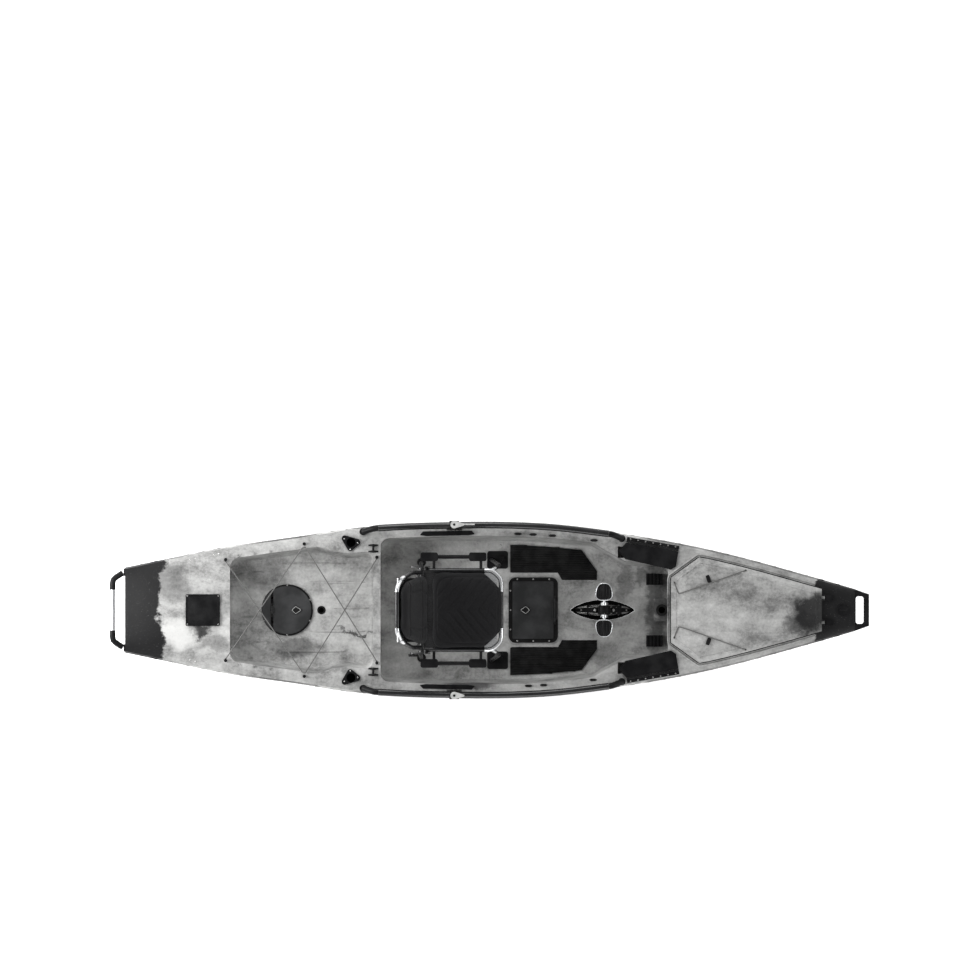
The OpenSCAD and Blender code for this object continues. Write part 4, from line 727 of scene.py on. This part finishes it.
def backSeams(at, facing):
    # two bowed seams beside the spine, one across the lumbar roll, one near the top
    c, s = math.cos(backLook["lean"]), math.sin(backLook["lean"])
    x, z = at[:, 0] - backPivot[0], at[:, 2] - backPivot[2]
    up, front = -x * s + z * c, facing[:, 0] * c + facing[:, 2] * s
    bowed = np.abs(np.abs(at[:, 1]) - 0.075 - 0.03 * np.sin(up * 9))
    lumbar = np.abs(up - 0.115 - 0.25 * at[:, 1] ** 2)
    top = np.abs(up - 0.295 + 0.9 * at[:, 1] ** 2)
    inside = np.clip((0.165 - np.abs(at[:, 1])) / 0.02, 0, 1) * np.clip((up - 0.035) / 0.02, 0, 1)
    lines = np.maximum(groove(bowed, backLook["seam"]) * np.clip((0.295 - up) / 0.02, 0, 1),
                       np.maximum(groove(lumbar, backLook["seam"]), groove(top, backLook["seam"])))
    return np.clip(front * 2, 0, 1) * backLook["depth"] * lines * inside


sewn(backPad, backSeams)
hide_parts("back_pad")
print("pads sewn")


# ---- cords
def heightOn(obj, x, y):
    # top of a piece straight below a point high over it
    hit, place = obj.ray_cast((x, y, 1.2), (0, 0, -1))[:2]
    return place[2] if hit else cadLow[2]


def cordTube(name, path, radius, body):
    points = tubePoints(path, radius, 12)
    run = np.concatenate([[0], np.cumsum(np.linalg.norm(np.diff(path, axis=0), axis=1))])
    obj = makeObject(name, points, capped(len(path), 12), body, cordSheath)
    mesh = obj.data
    at = np.empty(len(mesh.vertices) * 3)
    mesh.vertices.foreach_get("co", at)
    away = np.linalg.norm(at.reshape(-1, 1, 3) - path[None], axis=2)
    nearest = away.argmin(1)
    turned = np.tile(np.linspace(0, 2 * np.pi, 12, endpoint=False), len(path))[:len(nearest)]
    for label, values in (("along", run[nearest]), ("around", turned)):
        mesh.attributes.new(label, "FLOAT", "POINT").data.foreach_set("value", values.astype(np.float32))
    return obj, float(run[-1])


def knot(name, at, way, size, body):
    # a bead of cord: length along way, radius size * sin^0.6
    t = np.linspace(0.02, 0.98, 13)
    path = np.asarray(at) + np.outer((t - 0.5) * size * 3.2, way)
    return tube(name, path, size * np.sin(np.pi * t) ** 0.6, body, cordSheath, 12)


def endKnots(name, path, size, body):
    # one at each end of a cord, drawn out along its last step
    pulls = [(i, path[i] - path[j]) for i, j in ((0, 1), (-1, -2))]
    return [knot("%s%d" % (name, i), path[i], pull / np.linalg.norm(pull), size, body) for i, pull in pulls]


cargoCord = {"radius": 0.003, "aft": (-1.449, 0.26875, 0.38134), "mid": (-1.018, 0.35471, 0.37114),
             "fore": (-0.620, 0.282, 0.3781), "over": 0.0067, "bend": 0.014}
for side, label in ((1, "Port"), (-1, "Starboard")):
    lift = 0 if side > 0 else cargoCord["over"]
    corners = [(cargoCord[key][0], cargoCord[key][1] * way, cargoCord[key][2] + lift)
               for key, way in (("aft", side), ("mid", -side), ("fore", side))]
    path = resample(easedPath(corners, cargoCord["bend"]), 0.02)
    cord, length = cordTube("cargoCord" + label, path, cargoCord["radius"], "hull")
    ends = endKnots("cargoKnot" + label, path, 0.0052, "hull")
    if side > 0:
        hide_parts("cargo_cords")

hatchCord = {"radius": 0.003, "lift": 0.0046, "bend": 0.012, "toggle": (1.197, 0.172), "turn": 20,
             "plan": [(1.010, 0.150), (1.031, 0.088), (1.150, 0.129), (1.280, 0.175), (1.400, 0.218)]}
for side, label in ((1, "Port"), (-1, "Starboard")):
    plan = easedPath([(x, y * side, 0) for x, y in hatchCord["plan"]], hatchCord["bend"])
    plan = resample(plan, 0.016)
    path = np.array([(x, y, heightOn(lidSkin, x, y) + hatchCord["lift"]) for x, y, z in plan])
    path[1:-1, 2] = np.maximum(path[1:-1, 2], (path[:-2, 2] + path[2:, 2]) / 2)
    cord, length = cordTube("hatchCord" + label, path, hatchCord["radius"], "bow_hatch")
    ends = endKnots("hatchKnot" + label, path, 0.005, "bow_hatch")
    x, y = hatchCord["toggle"][0], hatchCord["toggle"][1] * side
    t = np.linspace(0.01, 0.99, 15)
    swing = math.radians(hatchCord["turn"])
    way = np.array([-math.sin(swing) * side, math.cos(swing), 0])
    bar = np.array([x, y, heightOn(lidSkin, x, y) + 0.0078]) + np.outer((t - 0.5) * 0.042, way)
    toggle = tube("hatchToggle" + label, bar, 0.0115 * np.sin(np.pi * t) ** 0.12, "bow_hatch", blackPlastic,
                  16, 0.55)
    if side > 0:
        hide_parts("bow_hatch_cords")
print("cords laid")


# ---- mats' ribs: half-round ribs fore and aft, clipped to the mat's outline
matLook = {"pitch": 0.0125, "width": 0.0042, "height": 0.0018, "inset": 0.006}
for side, label in ((1, "port"), (-1, "starboard")):
    low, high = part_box("floor_mat_" + label)
    source = nodes["floor_mat_" + label].data
    edges = set()
    for face in source.polygons:
        if face.normal[2] > 0.9:
            keys = [tuple(np.round(source.vertices[i].co[:2], 5)) for i in face.vertices]
            for a, b in zip(keys, keys[1:] + keys[:1]):
                edges ^= {frozenset((a, b))}
    rails = np.array([sorted(edge) for edge in edges if len(edge) == 2])
    ribs = []
    for y in np.arange(low[1] + matLook["pitch"], high[1] - 0.004, matLook["pitch"]):
        a, b = rails[:, 0], rails[:, 1]
        cross = (a[:, 1] - y) * (b[:, 1] - y) < 0
        xs = np.sort(a[cross,
                       0] + (y - a[cross, 1]) / (b[cross, 1] - a[cross, 1]) * (b[cross, 0] - a[cross, 0]))
        for start, end in zip(xs[::2], xs[1::2]):
            if end - start > 0.03:
                line = np.linspace((start + matLook["inset"], y, high[2]),
                                   (end - matLook["inset"], y, high[2]), 4)
                ribs.append(tube("rib", line, matLook["width"], "hull", matFoam, 8,
                                 matLook["height"] / matLook["width"]))
    merged("matRibs" + label.title(), ribs)

# ---- moulded beads: along the cargo well's floor, and the parting line below the gunwale
wellFloor = 0.225
beads = []
for y, start, end in ((0.253, -1.151, -0.789), (0.152, -1.0, -0.683), (0.012, -0.862, -0.66),
                      (-0.116, -1.0, -0.683), (-0.226, -1.151, -0.789), (0.205, -1.30, -1.24),
                      (-0.17, -1.30, -1.24)):
    t = np.linspace(0.01, 0.99, 25)
    line = np.stack([start + (end - start) * t, np.full(25, y), np.full(25, wellFloor)], -1)
    beads.append(tube("bead", line, 0.007 * np.sin(np.pi * t) ** 0.35, "hull", marbledHullWithShade,
                      10, 0.5))
merged("wellBeads", beads)
lineSides = []
inside = (ringX > -1.985) & (ringX < 1.93)
for side in (1, -1):
    xs = ringX[inside]
    zs = []
    for x in xs:
        ring = hullPoints[np.abs(hullPoints[:, 0] - x) < 6e-4]
        zs.append(ring[np.abs(ring[:, 1]).argmax(), 2] + 0.006)
    line = np.stack([xs, side * (ringHalf[inside] - 0.0008), zs], -1)
    lineSides.append(tube("line", line, 0.0022, "hull", marbledHullWithShade, 8, 1.6))
merged("partingLine", lineSides)
print("ribs and beads made")


# ---- hatch and fitting trim
def loopAt(points, z, inset=0.0, spacing=0.012):
    # an outline as an even closed path at one height, moved in square to itself
    points = np.asarray(points, float)
    closed = np.concatenate([points, points[:1]])
    flat = resample(np.concatenate([closed, np.full((len(closed), 1), z)], 1), spacing)[:-1]
    run = np.roll(flat, -1, 0) - np.roll(flat, 1, 0)
    run /= np.linalg.norm(run, axis=1, keepdims=True)
    return flat - inset * np.stack([run[:, 1], -run[:, 0], 0 * z * run[:, 0]], -1)


low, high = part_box("bow_hatch_lid")
lidEdge = outline("bow_hatch_lid", low[2], low[2] + 0.012)
tube("lidSeal", loopAt(lidEdge, low[2] + 0.006, -0.001), 0.0042, "bow_hatch", blackPlastic,
     10, loop=True)
for name, skin, body, finish, slotName, inset, size in (
        ("lidBorder", lidSkin, "bow_hatch", marbledLid, "lid_plastic", 0.030, 0.0045),
        ("hatchBorder", hullSkin, "hull", marbledHullWithShade, "hull_plastic", -0.016, 0.005)):
    line = loopAt(lidEdge, 0, inset)
    line[:, 2] = [heightOn(skin, x, y) for x, y, z in line]
    line = line[line[:, 0] < 1.79]
    start = int(np.argmax(np.linalg.norm(np.roll(line, -1, 0) - line, axis=1))) + 1
    line = np.roll(line, -start, 0)
    line[1:-1, 2] = (line[:-2, 2] + line[1:-1, 2] + line[2:, 2]) / 3
    tube(name, line, size, body, finish, 10, 0.7)
for node in ("round_hatch_latch", "bay_hatch_latch"):
    low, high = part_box(node)
    edge = outline(node, high[2] - 0.004, high[2])
    tube(node.split("_")[0] + "LatchLine", loopAt(edge, high[2], 0.0035, 0.004), 0.0013,
         nodes[node]["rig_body"], greyPlastic, 8, loop=True)
for node, inset, size in (("bay_hatch_lid", 0.016, 0.0025), ("round_hatch_lid", 0.014, 0.0022)):
    low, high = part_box(node)
    edge = outline(node, high[2] - 0.002, high[2])
    tube(node.split("_")[0] + "LidBead", loopAt(edge, high[2], inset, 0.01), size,
         nodes[node]["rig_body"], hatchPlastic, 8, loop=True)


def screwHead(name, at, radius, body, material=None):
    # turned head: radius by height profile, with a dimple for the driver
    profile = np.array([(1.0, 0), (1.0, 0.35), (0.85, 0.6), (0.55, 0.72), (0.42, 0.72), (0.3, 0.4),
                        (0.01, 0.36)]) * radius
    turn = np.linspace(0, 2 * np.pi, 16, endpoint=False)
    ring = np.stack([np.cos(turn), np.sin(turn)], -1)
    points = stacked([(ring * r, h) for r, h in profile]) + np.asarray(at)
    return makeObject(name, points, capped(len(profile), 16), body, material or stainless)


heads = []
for label in ("port", "starboard"):
    low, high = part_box("rod_holder_" + label)
    edge = outline("rod_holder_" + label, high[2] - 0.003, high[2])
    middle = (np.array(low[:2]) + np.array(high[:2])) / 2
    for spread in ((-0.036, 0.024), (0.037, 0.002), (-0.004, -0.033)):
        y = middle[1] + spread[1] * (1 if label == "port" else -1)
        heads.append(screwHead("head", (middle[0] + spread[0], y, high[2]), 0.0036, "hull"))
merged("holderScrews", heads)

# ---- drive unit: crowned fairing round the housing, bolts, and rims on the pedals
driveLook = {"start": 0.452, "end": 0.780, "half": 0.047, "low": 0.068, "rise": 0.044, "spindle": 0.626}
t = np.linspace(0.004, 0.996, 61)[:, None]
v = np.linspace(-1, 1, 25)[None, :]
wide = driveLook["half"] * np.sin(np.pi * t) ** 0.75
rise = driveLook["rise"] * np.sin(np.pi * t) ** 0.5 * (1 - np.abs(v) ** 3.2)
ridge = 0.005 * np.exp(-((np.abs(v) - 0.55) / 0.09) ** 2) * np.sin(np.pi * t)
fairing = np.stack([driveLook["start"] + (driveLook["end"] - driveLook["start"]) * t + 0 * v, wide * v,
                    driveLook["low"] + rise + ridge], -1)
bottom = fairing.copy()
bottom[..., 2] = driveLook["low"] - 0.004
ringed = np.concatenate([fairing, bottom[:, ::-1]], 1)
makeObject("driveFairing", ringed, capped(*ringed.shape[:2]), "hull", finRubber)
heads = []
for x, y in ((0.50, 0.0), (0.545, 0.022), (0.545, -0.022), (0.705, 0.024), (0.705, -0.024), (0.748, 0.0)):
    t0 = (x - driveLook["start"]) / (driveLook["end"] - driveLook["start"])
    v0 = y / (driveLook["half"] * math.sin(math.pi * t0) ** 0.75)
    z = driveLook["low"] + driveLook["rise"] * math.sin(math.pi * t0) ** 0.5 * (1 - abs(v0) ** 3.2) + 0.001
    heads.append(screwHead("head", (x, y, z), 0.0055, "hull"))
merged("driveBolts", heads)
drumLook = {"along": (0.575, 0.677), "height": 0.108, "radius": 0.024, "hubHeight": 0.122, "hubRadius": 0.008}
drums = [screwHead("drum", (x, 0, drumLook["height"]), drumLook["radius"], "hull", finRubber)
         for x in drumLook["along"]]
drums += [screwHead("hub", (x, 0, drumLook["hubHeight"]), drumLook["hubRadius"], "hull")
          for x in drumLook["along"]]
merged("driveDrums", drums)
cableLook = {"start": 0.468, "run": 0.30, "inset": 0.006, "height": 0.098, "radius": 0.0016}
t = np.linspace(0, 1, 17)
cables = []
for side in (1, -1):
    for spread, arch in ((0.012, 0.014), (0.021, 0.009)):
        line = np.stack([cableLook["start"] + cableLook["run"] * t,
                         side * (cableLook["inset"] + spread * np.sin(np.pi * t) ** 0.5),
                         cableLook["height"] + (0.012 + arch) * np.sin(np.pi * t) ** 0.6], -1)
        cables.append(tube("cable", line, cableLook["radius"], "hull", stainless, 8))
merged("driveCables", cables)
chainLook = {"links": 13, "half": 0.036, "height": 0.102, "rise": 0.030, "plate": 0.007, "radius": 0.0034}
links = []
for k in range(chainLook["links"]):
    angle = math.pi * (k + 0.5) / chainLook["links"]
    at = np.array([driveLook["spindle"], chainLook["half"] * math.cos(angle),
                   chainLook["height"] + chainLook["rise"] * math.sin(angle)])
    line = at + np.outer(np.linspace(-chainLook["plate"], chainLook["plate"], 5), (1, 0, 0))
    links.append(tube("link", line, chainLook["radius"], "hull", stainless, 8, 0.8))
merged("driveChain", links)

# pedals: oval boards on the crank pins, dished, in a bright rim, with five ridges across
pedalLook = {"halfX": 0.047, "halfY": 0.050, "top": 0.513, "thick": 0.022, "power": 0.72, "rim": 0.0024,
             "dish": 0.004}


def bulged(wave, half):
    # superellipse: a circle's wave raised to a power, its sign kept
    return np.sign(wave) * np.abs(wave) ** pedalLook["power"] * half


for side, label in ((1, "port"), (-1, "starboard")):
    low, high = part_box("pedal_" + label)
    body = "pedal_" + label
    middle = np.array([(low[0] + high[0]) / 2, (low[1] + high[1]) / 2])
    turn = np.linspace(0, 2 * np.pi, 72, endpoint=False)
    bend = np.stack([bulged(np.cos(turn), pedalLook["halfX"]), bulged(np.sin(turn), pedalLook["halfY"])], -1)
    bend[:, 0] *= 1 - 0.16 * side * bend[:, 1] / pedalLook["halfY"]
    rings = [(0.02, -pedalLook["dish"]), (0.5, -pedalLook["dish"] * 0.8), (0.88, -0.001), (0.96, 0.0),
             (1.0, -0.003), (1.0, -pedalLook["thick"] + 0.004), (0.94, -pedalLook["thick"]),
             (0.02, -pedalLook["thick"])]
    points = stacked([(middle + bend * scale, pedalLook["top"] + drop) for scale, drop in rings])
    board = makeObject("pedalBoard" + label.title(), points, capped(len(rings), len(turn)), body,
                       finRubber)
    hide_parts("pedal_" + label)
    pin = np.array([(middle[0], low[1] + 0.004 + 0.096 * k, (low[2] + high[2]) / 2) for k in (0, 0.25, 0.5,
                                                                                              0.75, 1)])
    tube("pedalHub" + label.title(), pin, 0.0125, body, blackPlastic, 20)
    rim = stacked([(middle + bend * 0.93, pedalLook["top"] + 0.0006)])
    tube("pedalRim" + label.title(), rim, pedalLook["rim"], body, satinAluminium, 8,
         loop=True)
    ridges = []
    for k in range(5):
        x = (k - 2) * 0.0155
        reach = pedalLook["halfY"] * (1 - abs(x / pedalLook["halfX"]) ** 2.4) ** 0.42 * 0.78
        s01 = np.linspace(0.02, 0.98, 9)
        line = np.stack([np.full(9, middle[0] + x), middle[1] + (2 * s01 - 1) * reach,
                         np.full(9, pedalLook["top"] - 0.001)], -1)
        ridges.append(tube("ridge", line, 0.004 * np.sin(np.pi * s01) ** 0.2, body, blackPlastic,
                           8, 0.8))
    merged("pedalRidges" + label.title(), ridges)

# ---- small deck fittings
capLook = {"back": 0.141, "reach": 0.138, "from": 131, "to": 229, "skirt": 0.009, "edge": 0.003,
           "crown": 0.001}
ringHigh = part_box("round_hatch_ring")[1]
centre, reach, capTop = ringHigh[0] - capLook["back"], capLook["reach"], ringHigh[2]
turn = np.linspace(math.radians(capLook["from"]), math.radians(capLook["to"]), 40)
arc = np.stack([centre + reach * np.cos(turn), reach * np.sin(turn)], -1)
flatSide = np.stack([np.full(40, arc[0, 0]), arc[:, 1]], -1)
rows = [(arc, capTop - capLook["skirt"]), (arc, capTop - capLook["edge"]),
        (arc * 0.985 + flatSide * 0.015, capTop - capLook["crown"]), (arc * 0.5 + flatSide * 0.5, capTop),
        (flatSide * 0.985 + arc * 0.015, capTop - capLook["crown"]),
        (flatSide, capTop - capLook["edge"]), (flatSide, capTop - capLook["skirt"])]
points = stacked(rows)
faces = list(gridFaces(len(rows), 40, False)) + [np.arange(7) * 40, (np.arange(7) * 40 + 39)[::-1],
                                                 np.concatenate([np.arange(40)[::-1], np.arange(40) + 240])]
makeObject("hatchHingeCap", points, faces, "hull", hatchPlastic, False)

drainLow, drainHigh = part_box("scupper_sleeve")
middleX = (drainLow[0] + drainHigh[0]) / 2
screwHead("drainPlug", (middleX, 0, drainHigh[2] - 0.045), 0.0165, "hull", finRubber)

spoolLook = {"x": -0.640, "y": 0.338, "half": 0.021, "flange": 0.0125, "waist": 0.0065, "lift": 0.0128}
spools = []
for side in (1, -1):
    x, y = spoolLook["x"], side * spoolLook["y"]
    z = heightOn(hullSkin, x, y)
    t = np.linspace(-1, 1, 15)
    waist = np.where(np.abs(t) > 0.68, spoolLook["flange"], spoolLook["waist"])
    waist[[0, -1]] = 0.010
    line = np.stack([np.full(15, x), y + spoolLook["half"] * t, np.full(15, z + spoolLook["lift"])], -1)
    spools.append(tube("spool", line, waist, "hull", blackPlastic, 18))
    for end in (-1, 1):
        foot = np.array([(x - 0.027, y + end * 0.017, z + 0.002), (x, y + end * 0.017, z + 0.004),
                         (x + 0.027, y + end * 0.017, z + 0.002)])
        spools.append(tube("foot", foot, (0.004, 0.007, 0.004), "hull", blackPlastic, 12,
                           0.6))
merged("deckSpools", spools)

pairs = []
for side in (1, -1):
    for x in (-1.645, -1.615, -1.515, -1.485):
        y = side * (float(np.interp(x, ringX, ringHalf)) - 0.030)
        if side > 0 or x < -1.6:
            pairs.append(screwHead("head", (x, y, heightOn(hullSkin, x, y) - 0.0004), 0.0042, "hull"))
merged("gunwaleScrews", pairs)
print("trim made")

# ---- room
floorLook = {"size": 14.0, "drop": 0.012, "grey": (0.93, 0.93, 0.93)}
floorFinish, tree, surface, place = startFinish("paleFloor", **{
    "Roughness": 0.9, "Emission Color": (1, 1, 1, 1), "Emission Strength": 0.42})
join(tree, surface,
     Base_Color=blendColour(tree, noise(tree, place, 2.0), floorLook["grey"], (0.95, 0.95, 0.95)))
half = floorLook["size"] / 2
floorMesh = bpy.data.meshes.new("floor")
floorMesh.from_pydata([(-half, -half, 0), (half, -half, 0), (half, half, 0), (-half, half, 0)], [],
                      [(0, 1, 2, 3)])
floorMesh.transform(Matrix.Translation((0, 0, cadLow[2] - floorLook["drop"])))
floorMesh.materials.append(floorFinish)
floorObject = bpy.data.objects.new("floor", floorMesh)
bpy.context.scene.collection.objects.link(floorObject)
floorObject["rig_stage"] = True

lights = {"aft": ((-4.2, 0.5, 2.4), 2.2, 190), "port": ((-0.8, 3.8, 2.4), 2.2, 75),
          "starboard": ((0.6, -3.8, 2.4), 2.2, 45),
          "fore": ((4.4, -0.6, 2.2), 1.6, 35)}
for name, (stand, size, power) in lights.items():
    data = bpy.data.lights.new(name, "AREA")
    data.size, data.energy = size, power
    lamp = bpy.data.objects.new(name, data)
    lamp.location = stand
    lamp.rotation_euler = (-Vector(stand)).to_track_quat("-Z", "Y").to_euler()
    bpy.context.scene.collection.objects.link(lamp)
world = bpy.data.worlds.new("studio")
world.use_nodes = True
sky = world.node_tree
upward = put(sky, "SeparateXYZ", {0: put(sky, "TexCoord")}, 2)
# bright round the sides, dim overhead, so that dark tops stay dark
glow = put(sky, "MapRange", {0: upward, 1: 0.35, 2: 0.97, 3: 1.0, 4: 0.3}, interpolation_type="SMOOTHSTEP")
sky.links.new(glow, sky.nodes["Background"].inputs[1])
sky.nodes["Background"].inputs[0].default_value = (1, 1, 1, 1)
bpy.context.scene.world = world
bpy.context.scene.view_settings.view_transform = "Standard"

low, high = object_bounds()
print("scene ready")
